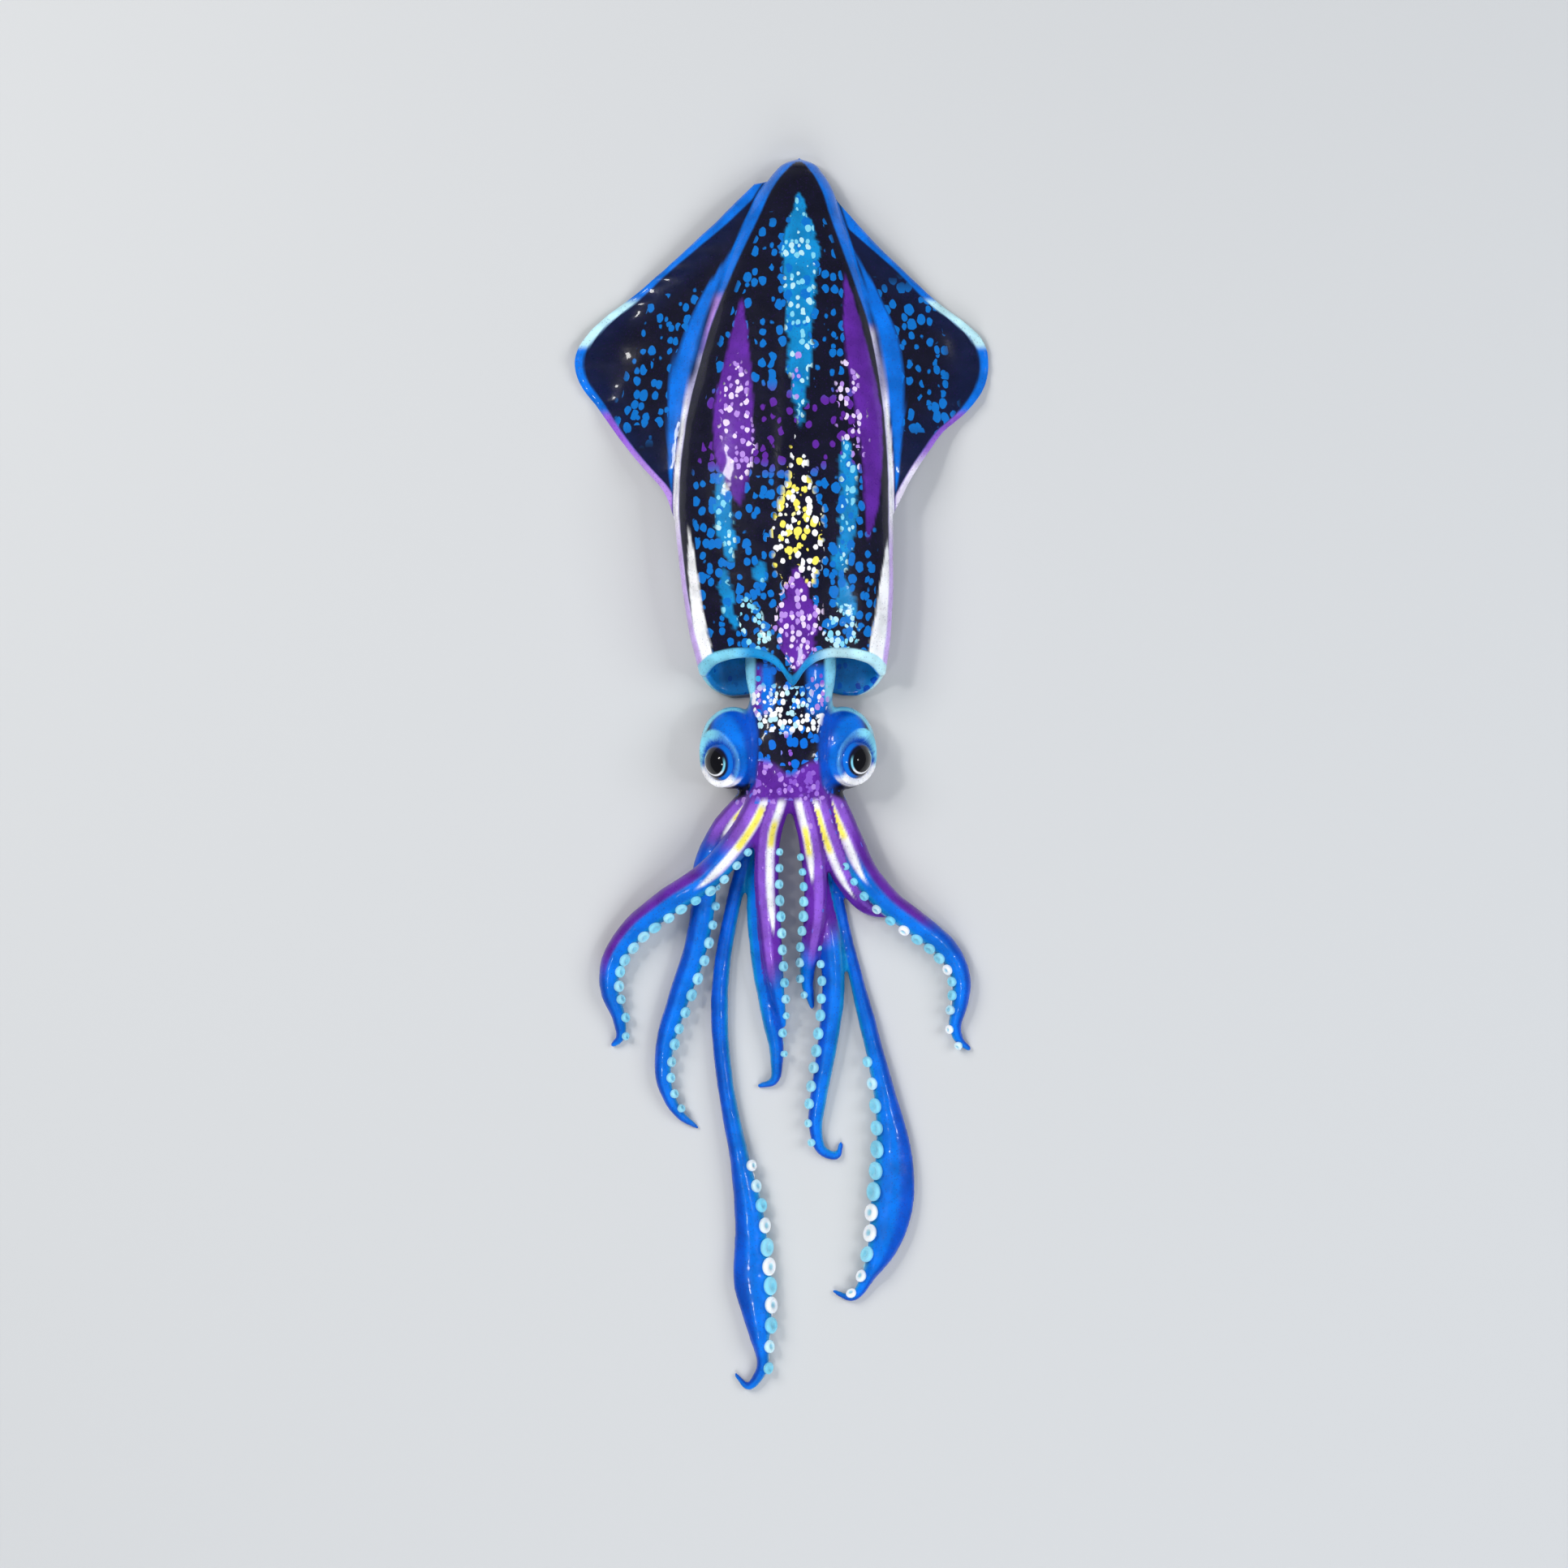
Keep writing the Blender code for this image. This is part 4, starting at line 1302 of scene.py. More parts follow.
TENTACLE_HEIGHT = Curve(((0, 8), (0.05, 6.8), (0.12, 3.6), (0.18, 0)))
LIMBS = (
    Limb(
        "arm_one_left",
        ((-0.2, -0.3), (-0.8, -9), (-4.6, -22), (-5.6, -38), (-4.4, -57), (-2.3, -78),
         (1.1, -97.5)),
        Curve(((0, 18.5), (0.2, 16.4), (0.4, 12.8), (0.65, 10.6), (0.85, 8.8), (1, 5.4))),
        LimbLook(76, (5, 60), (17, 27)), base=4.7,
    ),
    Limb(
        "arm_one_right",
        ((7, -0.3), (7.6, -9), (11, -24), (13, -40), (12.8, -54), (10.9, -68), (10.1, -80),
         (12.1, -90.5)),
        Curve(((0, 18.5), (0.2, 16.4), (0.4, 13), (0.6, 9.6), (0.78, 4.4), (0.9, 0))),
        LimbLook(68, (5, 40), (19, 30), dark_side=1), base=4.5,
    ),
    Limb(
        "arm_two_left",
        ((-5.1, -0.3), (-8.4, -12), (-16.5, -25.6), (-28, -38.4), (-44.8, -49.8), (-58.2, -61.2),
         (-65.4, -73.5), (-65.6, -84), (-62.2, -94), (-62, -101.5), (-65.8, -104.8)),
        Curve(((0, 16.5), (0.15, 16), (0.3, 13.8), (0.42, 11.6), (0.6, 4.8), (0.7, 0))),
        LimbLook(30, (5, 50), (12, 30), (44, 98)), base=5.4,
    ),
    Limb(
        "arm_two_right",
        ((11.6, -0.3), (14.2, -11), (18.8, -26), (25.9, -42.2), (33.5, -51.4), (40.8, -54.6)),
        Curve(((0, 16.5), (0.2, 15), (0.45, 11.6), (0.65, 7.2), (0.85, 2.4), (1, 0))),
        LimbLook(80, (5, 48), (12, 29), dark_side=1), base=4.8,
    ),
    Limb(
        "arm_three_left",
        ((-7, -0.3), (-12.6, -9.5), (-22.5, -21.5), (-28.6, -34), (-29.8, -50), (-33.2, -68),
         (-39.6, -87), (-44.6, -104), (-44.8, -119), (-38.6, -131), (-31.8, -136)),
        Curve(((0, 11), (0.08, 10.2), (0.2, 5.4), (0.32, 0))),
        LimbLook(30, (5, 27), (9, 19)), base=4.6,
    ),
    Limb(
        "arm_three_right",
        ((14.1, -0.3), (18.8, -9), (25.6, -24), (32.7, -39.1), (40.5, -48.4), (52.4, -57.6),
         (63.6, -67.2), (69, -77.6), (68.4, -89), (66.8, -97), (68.4, -102), (73.3, -106.3)),
        Curve(((0, 12.5), (0.25, 10.8), (0.5, 8), (0.65, 5), (0.8, 0))),
        LimbLook(34, (3, 44), (9, 26), (24, 72), dark_side=1), base=5.1,
    ),
    Limb(
        "arm_four_left",
        ((-1.4, -0.3), (-5, -14), (-7.9, -33), (-8.6, -54), (-7.2, -72), (-4.2, -92),
         (-1.7, -108.8), (-3, -118), (-9.5, -120)),
        Curve(((0, 6), (0.1, 5), (0.2, 0))),
        LimbLook(24, dark_side=1), base=4.5,
    ),
    Limb(
        "arm_four_right",
        ((8.5, -0.3), (11.2, -20), (14, -42), (19, -65.4), (20, -82), (17.6, -105), (14.2, -125),
         (13.3, -136.5), (16.2, -145), (21.6, -146.4), (23.1, -141.4)),
        Curve(((0, 6), (0.08, 5), (0.16, 0))),
        LimbLook(62), base=4.5,
    ),
    Limb(
        "tentacle_left",
        ((-3.9, -0.3), (-10.7, -22), (-18.4, -49.9), (-22.8, -74.7), (-23.7, -92), (-21.5, -118),
         (-15.7, -149), (-11.9, -172), (-11.1, -193), (-8.3, -215), (-8, -230), (-12.6, -235.2),
         (-18.1, -230)),
        TENTACLE_HEIGHT,
        LimbLook(14, deep_until=110),
        width=Curve((
            (0, 4.4), (0.15, 3.0), (0.35, 3.3), (0.6, 3.8), (0.74, 6.4), (0.8, 7.2), (0.86, 5.2),
            (0.91, 2.7), (0.96, 1.8), (1, 0.7),
        )),
    ),
    Limb(
        "tentacle_right",
        ((11.6, -0.3), (18.1, -22), (21.9, -48.4), (27.7, -73.8), (33.6, -97.3), (39.6, -122),
         (43, -143), (43, -161), (40.2, -177), (34.4, -191), (26.5, -201), (19.7, -198.4)),
        TENTACLE_HEIGHT,
        LimbLook(14, dark_side=1, deep_until=70),
        width=Curve((
            (0, 4.4), (0.2, 2.4), (0.45, 3.2), (0.58, 4.2), (0.72, 7.6), (0.78, 8.3),
            (0.86, 5.8), (0.91, 3.0), (0.96, 1.7), (1, 0.7),
        )),
    ),
)


@dataclass(frozen=True)
class EyePlace:
    """Where an eye sits and looks."""

    side: int
    centre: Point
    bulge: Point
    radius: float = 8.6
    lid_radius: float = 10.3
    opening: float = math.radians(52)
    upward: float = math.radians(50)
    forward: float = math.radians(10)

    def direction(self) -> Array:
        """Where the eye looks.

        Returns:
            A unit direction.
        """
        level = math.cos(self.upward)
        return np.array((
            self.side * level * math.cos(self.forward),
            -level * math.sin(self.forward),
            math.sin(self.upward),
        ))

    def polar(self, points: Array) -> tuple[Array, Array, Array]:
        """Places points round the eye.

        Args:
            points: vertices, in millimetres.

        Returns:
            Each point's offset from the eyeball's centre, its distance from there, and its angle
            from where the eye looks.
        """
        offset = points - np.array(self.centre)
        radius = np.linalg.norm(offset, axis=1)
        cosine = offset @ self.direction() / np.maximum(radius, 1e-6)
        return offset, radius, np.arccos(np.clip(cosine, -1, 1))

    def toward(self, offset: Array, direction: Point) -> Array:
        """Tells on which side of the eye's axis points lie.

        Args:
            offset: what polar() gives.
            direction: a side of the eye.

        Returns:
            1 on that side, -1 on the opposite side.
        """
        axis = self.direction()
        flat = offset - (offset @ axis)[:, None] * axis
        flat /= np.maximum(np.linalg.norm(flat, axis=1), 1e-6)[:, None]
        side = np.array(direction) - (np.array(direction) @ axis) * axis
        return flat @ (side / np.linalg.norm(side))


EYES = {
    "eye_left": EyePlace(-1, (-20.6, 5.2, 16.6), (-18.4, 10.0, 12.8)),
    "eye_right": EyePlace(1, (25.9, 6.0, 16.6), (23.6, 10.0, 12.8)),
}


@dataclass
class Head:
    """The head with its neck, funnel, arms and tentacles, fused to one skin."""

    limbs: tuple[Limb, ...]
    eyes: dict[str, EyePlace]
    voxel: float = 0.74
    neck_x: float = 3.4
    sections: tuple[tuple[float, ...], ...] = (
        (58.5, 3.9, 14.4, 15.6, 7.8), (51, 3.8, 16.8, 15.2, 9.2), (42, 3.7, 17.4, 14.9, 9.8),
        (34, 3.7, 16.6, 14.4, 9.8), (29, 3.8, 15.7, 13.8, 9.8), (22, 3.4, 17.4, 13.8, 10.6),
        (12, 3.0, 19.6, 13.4, 12.4), (2, 3.0, 18.4, 12.8, 12.8), (-4, 3.2, 15.6, 12.2, 11.8),
        (-10, 3.4, 11.0, 11.6, 8.8), (-13, 3.5, 5.5, 11.4, 4.6),
    )
    funnel: tuple[tuple[float, ...], ...] = (
        (3.4, 33, 5.0, 6.4, 3.2), (3.3, 28, 4.4, 6.8, 3.2), (3.2, 22, 3.8, 6.0, 3.2),
        (3.2, 16, 3.2, 4.4, 3.0),
    )
    bulge_axes: Point = (12.6, 15.9, 11.4)
    folds: tuple[float, float] = (9.0, 0.5)
    pores: tuple[float, float] = (2.4, 0.14)
    around: int = 72
    trunk_rings: int = 90
    funnel_around: int = 40
    limb_around: int = 28
    limb_step: float = 1.2
    ball_segments: int = 64
    ball_rings: int = 40

    def trunk(self) -> Shell:
        """The neck and head as a closed shell.

        Returns:
            The vertices in millimetres and the faces.
        """
        rows = np.array(self.sections)
        place = -rows[:, 0]
        at = np.linspace(place[0], place[-1], self.trunk_rings)
        x, half, middle, rise = (Curve(tuple(zip(place, column))).at(at) for column in rows.T[1:])
        turns = np.linspace(0, 2 * math.pi, self.around, endpoint=False)
        side = np.sign(np.cos(turns)) * np.abs(np.cos(turns)) ** 0.92
        top = np.sign(np.sin(turns)) * np.abs(np.sin(turns)) ** 0.92
        rings = np.stack((
            x[:, None] + half[:, None] * side,
            np.repeat(-at[:, None], self.around, axis=1),
            np.maximum(middle[:, None] + rise[:, None] * top, 0),
        ), axis=2)
        ends = np.array((
            (x[0], -at[0] + 1, middle[0]),
            (x[-1], -at[-1] - 1, middle[-1]),
        ))
        return np.concatenate((rings.reshape(-1, 3), ends)), loft_faces(len(at), self.around)

    def funnel_shell(self) -> Shell:
        """The funnel as a closed, flattened cone.

        Returns:
            The vertices in millimetres and the faces.
        """
        around = self.funnel_around
        turns = np.linspace(0, 2 * math.pi, around, endpoint=False)
        rings = [
            np.stack((
                x + half * np.cos(turns), np.full(around, y), np.maximum(z + rise * np.sin(turns), 0)
            ), axis=1)
            for x, y, z, half, rise in self.funnel
        ]
        ends = np.array(((3.4, 33.5, 5.0), (3.2, 12.5, 3.2)))
        return np.concatenate((*rings, ends)), loft_faces(len(rings), around)

    def ball(self, centre: Point, axes: Point) -> Shell:
        """An ellipsoid as a closed shell.

        Args:
            centre: its centre.
            axes: its three half lengths.

        Returns:
            The vertices in millimetres and the faces.
        """
        place = Matrix.Translation(centre) @ Matrix.Diagonal((*axes, 1))
        return sphere_shell(place, 1, self.ball_segments, self.ball_rings)

    def build(self, material: bpy.types.Material) -> bpy.types.Object:
        """Makes the fused skin of the head and the limbs.

        Args:
            material: the skin's material.

        Returns:
            The object.
        """
        shells = [self.trunk(), self.funnel_shell()]
        shells += [limb.shell(self.limb_around, self.limb_step) for limb in self.limbs]
        for eye in self.eyes.values():
            shells.append(self.ball(eye.bulge, self.bulge_axes))
            shells.append(self.ball(eye.centre, (eye.lid_radius,) * 3))
        points, faces, start = [], [], 0
        for shell_points, shell_faces in shells:
            points.append(shell_points)
            faces += [tuple(start + i for i in face) for face in shell_faces]
            start += len(shell_points)
        made = mesh_object("head_skin", np.concatenate(points), faces)
        fuse = made.modifiers.new("fuse", "REMESH")
        fuse.mode = "VOXEL"
        fuse.voxel_size = self.voxel * MM
        fuse.use_smooth_shade = True
        soften = made.modifiers.new("soften", "SMOOTH")
        soften.factor = 0.5
        soften.iterations = 5
        apply_modifiers(made)
        self.open_eyelids(made.data)
        ripple_surface(made, "head_folds", *self.folds)
        ripple_surface(made, "head_pores", *self.pores)
        points = vertices_of(made.data)
        points[:, 2] = np.maximum(points[:, 2], 0)
        move_vertices(made.data, points)
        made.data.shade_smooth()
        self.paint(made.data)
        dress(made, material, "head")
        return made

    def open_eyelids(self, mesh: bpy.types.Mesh) -> None:
        """Presses the skin back from each eyeball, and raises a soft lid round the opening.

        Args:
            mesh: the fused skin.
        """
        points = vertices_of(mesh)
        for eye in self.eyes.values():
            offset, radius, angle = eye.polar(points)
            near = radius < eye.lid_radius + 8
            opened = ease((angle - eye.opening) / math.radians(12))
            inner = eye.radius - 0.7
            wanted = inner + (radius - inner) * opened
            lid = np.exp(-(((angle - eye.opening - math.radians(12)) / math.radians(6)) ** 2))
            wanted = np.where(near, wanted + 0.5 * lid * opened, radius)
            points = np.array(eye.centre) + offset * (wanted / np.maximum(radius, 1e-6))[:, None]
        move_vertices(mesh, points)

    def nearest(self, points: Array) -> dict[str, Array]:
        """Finds which limb each vertex belongs to, and where on it.

        Args:
            points: vertices, in millimetres.

        Returns:
            The limb's number, the distance from its base, and the offset across it as a share of
            its half width.
        """
        paths = [limb.path() for limb in self.limbs]
        across = [limb.directions(path)[1] for limb, path in zip(self.limbs, paths)]
        number = np.repeat(np.arange(len(paths)), [len(path) for path in paths])
        rows, sides = np.concatenate(paths), np.concatenate(across)
        tree = KDTree(len(rows))
        for i, row in enumerate(rows):
            tree.insert(row[:3], i)
        tree.balance()
        found = np.empty(len(points), int)
        for i, point in enumerate(points):
            close = tree.find_n(point, 3)
            found[i] = min(close, key=lambda hit: hit[2] - rows[hit[1], 3])[1]
        row, side = rows[found], sides[found]
        offset = ((points - row[:, :3]) * side).sum(axis=1) / row[:, 3]
        return {"number": number[found], "along": row[:, 5], "offset": offset}

    def paint(self, mesh: bpy.types.Mesh) -> None:
        """Lays the colours of the head, then those of each limb.

        Args:
            mesh: the fused skin.
        """
        points = vertices_of(mesh)
        paint = Paint(len(points), plain(Tint.INK))
        spot = self.nearest(points)
        on_limb = ease((3.0 - points[:, 1]) / 8)
        for number, limb in enumerate(self.limbs):
            self.paint_limb(paint, limb, spot, (spot["number"] == number) * on_limb)
        self.paint_neck(paint, points)
        for eye in self.eyes.values():
            self.paint_eyelids(paint, eye, points)
        low = ease((7 - points[:, 2]) / 5)
        paint.lay(low * ease((points[:, 1] + 2) / 8), BELLY_LOOK)
        paint.write(mesh)

    def paint_limb(
        self, paint: Paint, limb: Limb, spot: dict[str, Array], mask: Array
    ) -> None:
        """Lays the colours of one limb.

        Args:
            paint: the skin's paint.
            limb: the limb.
            spot: what nearest() gives.
            mask: 1 on this limb.
        """
        look, along = limb.look, spot["along"]
        inner = -spot["offset"] * look.dark_side
        outer_edge = ease((-inner - 0.1) / 0.4)
        violet = 1 - ease((along - look.violet_until + 7) / 14)
        paint.lay(mask, plain(Tint.BLUE))
        if look.deep_until:
            deep = 1 - ease((along - look.deep_until) / 40)
            paint.lay(mask * deep * 0.45, Look(Tint.DEEP_BLUE))
        paint.lay(mask * outer_edge, Look(Tint.DEEP_BLUE))
        paint.lay(mask * ease((inner - 0.5) / 0.3), Look(Tint.TEAL))
        paint.lay(mask * violet, Look(Tint.VIOLET))
        band = within(inner, -0.66, 0.05, 0.2)
        paint.lay(mask * violet * band, Look(Tint.MAUVE, specks=(Tint.LILAC, Tint.MAUVE, 0.14)))
        if look.violet_edge is not None:
            edge = within(along, *look.violet_edge, 12) * ease((-inner - 0.1) / 0.3)
            paint.lay(mask * edge, Look(Tint.VIOLET))
        # Painted highlight: a bright stripe with a lilac edge along the limb's base, and a yellow
        # band inside it.
        if look.highlight_streak is not None:
            start, end = look.highlight_streak
            width = 0.30 * ease((end - along) / 16 + 0.3)
            highlight_streak = within(along, start, end, 5) * within(inner, 0.28 - width, 0.28 + width, 0.22)
            paint.lay(mask * highlight_streak, plain(Tint.WHITE))
            paint.lay(mask * highlight_streak * ease((inner - 0.35) / 0.2) * 0.6, plain(Tint.LILAC))
        if look.highlight_gold is not None:
            highlight_gold = within(along, *look.highlight_gold, 3) * within(inner, 0.05, 0.50, 0.22)
            paint.lay(mask * highlight_gold, plain(Tint.GOLD))

    def paint_neck(self, paint: Paint, points: Array) -> None:
        """Lays the colours of the neck, the nape and the crown.

        Args:
            paint: the skin's paint.
            points: the skin's vertices, in millimetres.
        """
        x, y, z = points.T
        head = ease((y + 3) / 5)
        aside = np.abs(x - self.neck_x)
        paint.lay(head, Look(Tint.INK, (Tint.BLUE, 0.30), (Tint.BLUE, Tint.SKY, 0.0)))
        paint.lay(within(y, 3, 17, 3), Look(dots=(Tint.BLUE, 0.72)))
        patch = within(aside, 6.5, 14.5, 2.5) * within(y, 23, 41, 4)
        paint.lay(patch * (x > self.neck_x), Look(Tint.BLUE, specks=(Tint.MAUVE, Tint.LILAC, 0.3)))
        paint.lay(patch * (x < self.neck_x), Look(Tint.BLUE, specks=(Tint.LILAC, Tint.SKY, 0.3)))
        paint.lay(patch * ease((aside - 9.5) / 2.5) * (x < self.neck_x), Look(Tint.VIOLET))
        flank = within(aside, 13.2, 17.5, 1.4) * within(y, 28, 49, 4) * ease((z - 12) / 4)
        paint.lay(flank, plain(Tint.CYAN))
        nape = ease((17 - aside) / 4) * within(y, 15, 33, 4)
        paint.lay(nape, Look(specks=(Tint.WHITE, Tint.PALE, 0.92)))
        paint.lay(nape * within(y, 22, 34, 5) * ease((aside - 6) / 4),
                  Look(specks=(Tint.WHITE, Tint.LILAC, 0.92)))
        paint.lay(within(y, 0, 15, 4) * ease((5 - aside) / 3),
                  Look(specks=(Tint.MAUVE, Tint.MAUVE, 0.35)))
        notch = 5.5 * np.exp(-((aside / 5) ** 2))
        crown = within(y, -10, 5 - notch, 3) * ease((17 - aside) / 5)
        paint.lay(crown, Look(Tint.VIOLET, (Tint.MAUVE, 0.2), (Tint.MAUVE, Tint.LILAC, 0.6)))

    def paint_eyelids(self, paint: Paint, eye: EyePlace, points: Array) -> None:
        """Lays the colours of the skin round one eye.

        Args:
            paint: the skin's paint.
            eye: the eye.
            points: the skin's vertices, in millimetres.
        """
        offset, _, angle = eye.polar(points)
        from_bulge = (points - np.array(eye.bulge)) / np.array(self.bulge_axes)
        near = ease((1.32 - np.linalg.norm(from_bulge, axis=1)) / 0.16)
        near = np.maximum(near, angle < eye.opening + 0.3) * (points[:, 2] > 4)
        near *= np.linalg.norm(offset, axis=1) < 26
        degrees = np.degrees(angle)
        inner = eye.toward(offset, (-eye.side, 0.3, 0))
        below = eye.toward(offset, (0.35 * eye.side, -1, 0))
        paint.lay(near, Look(Tint.INK, (Tint.DEEP_BLUE, 0.3)))
        # Painted shade: a blue crescent on the inner side of the lid, deeper blue away from the
        # opening.
        shade_crescent = ease((inner + 0.05) / 0.4) * within(degrees, 62, 112, 9)
        paint.lay(near * shade_crescent, plain(Tint.DEEP_BLUE))
        paint.lay(near * shade_crescent * (1 - ease((degrees - 84) / 10)), plain(Tint.BLUE))
        flat = np.linalg.norm(from_bulge[:, :2], axis=1)
        upper_outer = ease((from_bulge[:, 0] * eye.side * 0.8 + from_bulge[:, 1] * 0.6 - 0.1) / 0.3)
        outline = ease((flat - 0.86) / 0.06) * upper_outer * ease((points[:, 2] - 12) / 3)
        paint.lay(near * outline, plain(Tint.CYAN))
        paint.lay(near * within(degrees, 40, 62, 4), plain(Tint.DEEP_BLUE))
        rim = within(degrees, 59, 67, 3) * (1 - 0.75 * ease((inner - 0.1) / 0.5))
        paint.lay(near * rim, plain(Tint.CYAN))
        # Painted highlight: a bright crescent on the lower side of the lid.
        paint.lay(near * ease((below - 0.30) / 0.35) * within(degrees, 55, 84, 6),
                  plain(Tint.WHITE))


@dataclass(frozen=True)
class SuckerRow:
    """The suckers along one side of a limb."""

    limb: str
    side: int
    first: float
    last: float
    count: int
    largest: float
    # The share of the suckers that gets a painted highlight on its dome.
    highlight_share: float = 0.0


SUCKER_ROWS = (
    SuckerRow("arm_one_left", 1, 0.30, 0.95, 11, 1.7),
    SuckerRow("arm_one_right", -1, 0.34, 0.93, 10, 1.6),
    SuckerRow("arm_two_left", 1, 0.22, 0.95, 16, 1.9),
    SuckerRow("arm_three_left", 1, 0.33, 0.93, 14, 1.8),
    SuckerRow("arm_three_right", -1, 0.28, 0.96, 15, 1.8, 0.45),
    SuckerRow("arm_four_left", 1, 0.68, 0.86, 4, 1.6),
    SuckerRow("arm_four_right", -1, 0.42, 0.90, 12, 1.8),
    SuckerRow("tentacle_left", 1, 0.62, 0.93, 11, 2.7, 0.6),
    SuckerRow("tentacle_right", -1, 0.52, 0.96, 12, 2.7, 0.55),
)


@dataclass
class Suckers:
    """Stalked cups along the limbs, in two rows of which the upper shows from above."""

    limbs: dict[str, Limb]
    rows: tuple[SuckerRow, ...]
    tilt: float = math.radians(35)
    lower_turn: float = math.radians(57)
    height: float = 2.9
    seat_share: float = 0.86
    seat_inset: float = 1.1
    lower_inset: float = 1.7
    upper_swell: float = 1.3
    lower_swell: float = 0.95
    around: int = 24
    profile: Stations = (
        (0.02, -0.40), (0.46, -0.36), (0.48, 0.00), (0.66, 0.16), (0.88, 0.36), (0.98, 0.56),
        (1.0, 0.72), (0.96, 0.87), (0.84, 0.98), (0.68, 1.03), (0.52, 1.02), (0.42, 0.96),
        (0.30, 0.86), (0.02, 0.82),
    )

    def cup(self, seat: Array, facing: Array, radius: float, height: float) -> Array:
        """One sucker's vertices.

        Args:
            seat: where its stalk leaves the limb.
            facing: where its mouth points.
            radius: its radius.
            height: its height.

        Returns:
            Rings of vertices, in millimetres.
        """
        turned = np.array(Vector(facing).to_track_quat("Z", "Y").to_matrix())
        turns = np.linspace(0, 2 * math.pi, self.around, endpoint=False)
        share, level = np.array(self.profile).T
        rings = np.stack((
            radius * share[:, None] * np.cos(turns),
            radius * share[:, None] * np.sin(turns),
            np.repeat(height * level[:, None], self.around, axis=1),
        ), axis=2)
        return seat + rings.reshape(-1, 3) @ turned.T

    def faces(self, start: int) -> list[tuple[int, ...]]:
        """One sucker's faces.

        Args:
            start: the number of its first vertex.

        Returns:
            Its quads, and a face at each end.
        """
        rings = len(self.profile)
        made = []
        for i in range(rings - 1):
            for j in range(self.around):
                k = (j + 1) % self.around
                a, b = start + i * self.around, start + (i + 1) * self.around
                made.append((a + j, a + k, b + k, b + j))
        made.append(tuple(start + j for j in reversed(range(self.around))))
        made.append(tuple(start + (rings - 1) * self.around + j for j in range(self.around)))
        return made

    def build_row(self, row: SuckerRow, material: bpy.types.Material) -> bpy.types.Object:
        """Makes both rows of suckers on one limb.

        Args:
            row: the limb's suckers.
            material: their material.

        Returns:
            The object.
        """
        draw = np.random.default_rng(len(row.limb) * 97 + row.count)
        path = self.limbs[row.limb].path()
        _, across = self.limbs[row.limb].directions(path)
        pitch = (row.last - row.first) / (row.count - 1)
        points, faces, tones = [], [], []
        for lower in (False, True):
            for n in range(row.count - lower):
                share = row.first + pitch * (n + 0.5 * lower)
                i = round(share * (len(path) - 1))
                half, rise = path[i, 3:5]
                tilt = self.tilt - lower * self.lower_turn
                facing = across[i] * row.side * math.cos(tilt)
                facing = facing + np.array((0, 0, math.sin(tilt)))
                out = self.seat_share * half - self.seat_inset - self.lower_inset * lower
                seat = path[i, :3] + across[i] * row.side * out
                seat[2] += (0.25 - 0.55 * lower) * rise
                swell = 0.45 + 0.55 * math.sin(math.pi * (0.12 + 0.76 * n / (row.count - 1)))
                radius = min(row.largest * swell, 0.75 * half + 0.3) * draw.uniform(0.9, 1.08)
                radius *= self.lower_swell if lower else self.upper_swell
                height = self.height * draw.uniform(1.0, 1.15) * min(1, 0.45 + 0.18 * half)
                cup = self.cup(seat, facing, radius, height)
                faces += self.faces(len(points) * len(cup))
                points.append(cup)
                tones.append(draw.uniform(0, 1))
        above = np.concatenate(points)
        above[:, 2] = np.maximum(above[:, 2], 0)
        made = mesh_object(f"suckers_{row.limb}", above, faces)
        self.paint(made.data, np.array(tones), row.highlight_share)
        dress(made, material, "")
        return made

    def paint(self, mesh: bpy.types.Mesh, tones: Array, highlight_share: float) -> None:
        """Lays the suckers' colours: pale domes with a bluer hollow, on blue stalks.

        Args:
            mesh: the mesh of both rows.
            tones: one number from 0 to 1 for each sucker.
            highlight_share: the share of them that gets a painted highlight on the dome.
        """
        rings = len(self.profile)
        ring = np.tile(np.repeat(np.arange(rings), self.around), len(tones))
        tone = np.repeat(tones, rings * self.around)
        paint = Paint(len(ring), plain(Tint.CYAN))
        paint.lay(tone * 0.6, plain(Tint.PALE))
        # Painted highlight: a bright patch on the domes of a share of the suckers.
        bright = ease((tone - 1 + highlight_share) / 0.2)
        paint.lay(within(ring, 4.5, 12.5, 2) * bright * 0.9, plain(Tint.WHITE))
        paint.lay(1 - ease(ring / 3), plain(Tint.BLUE))
        paint.lay(ease((ring - 10.5) / 2) * 0.7, plain(Tint.CYAN))
        paint.write(mesh)


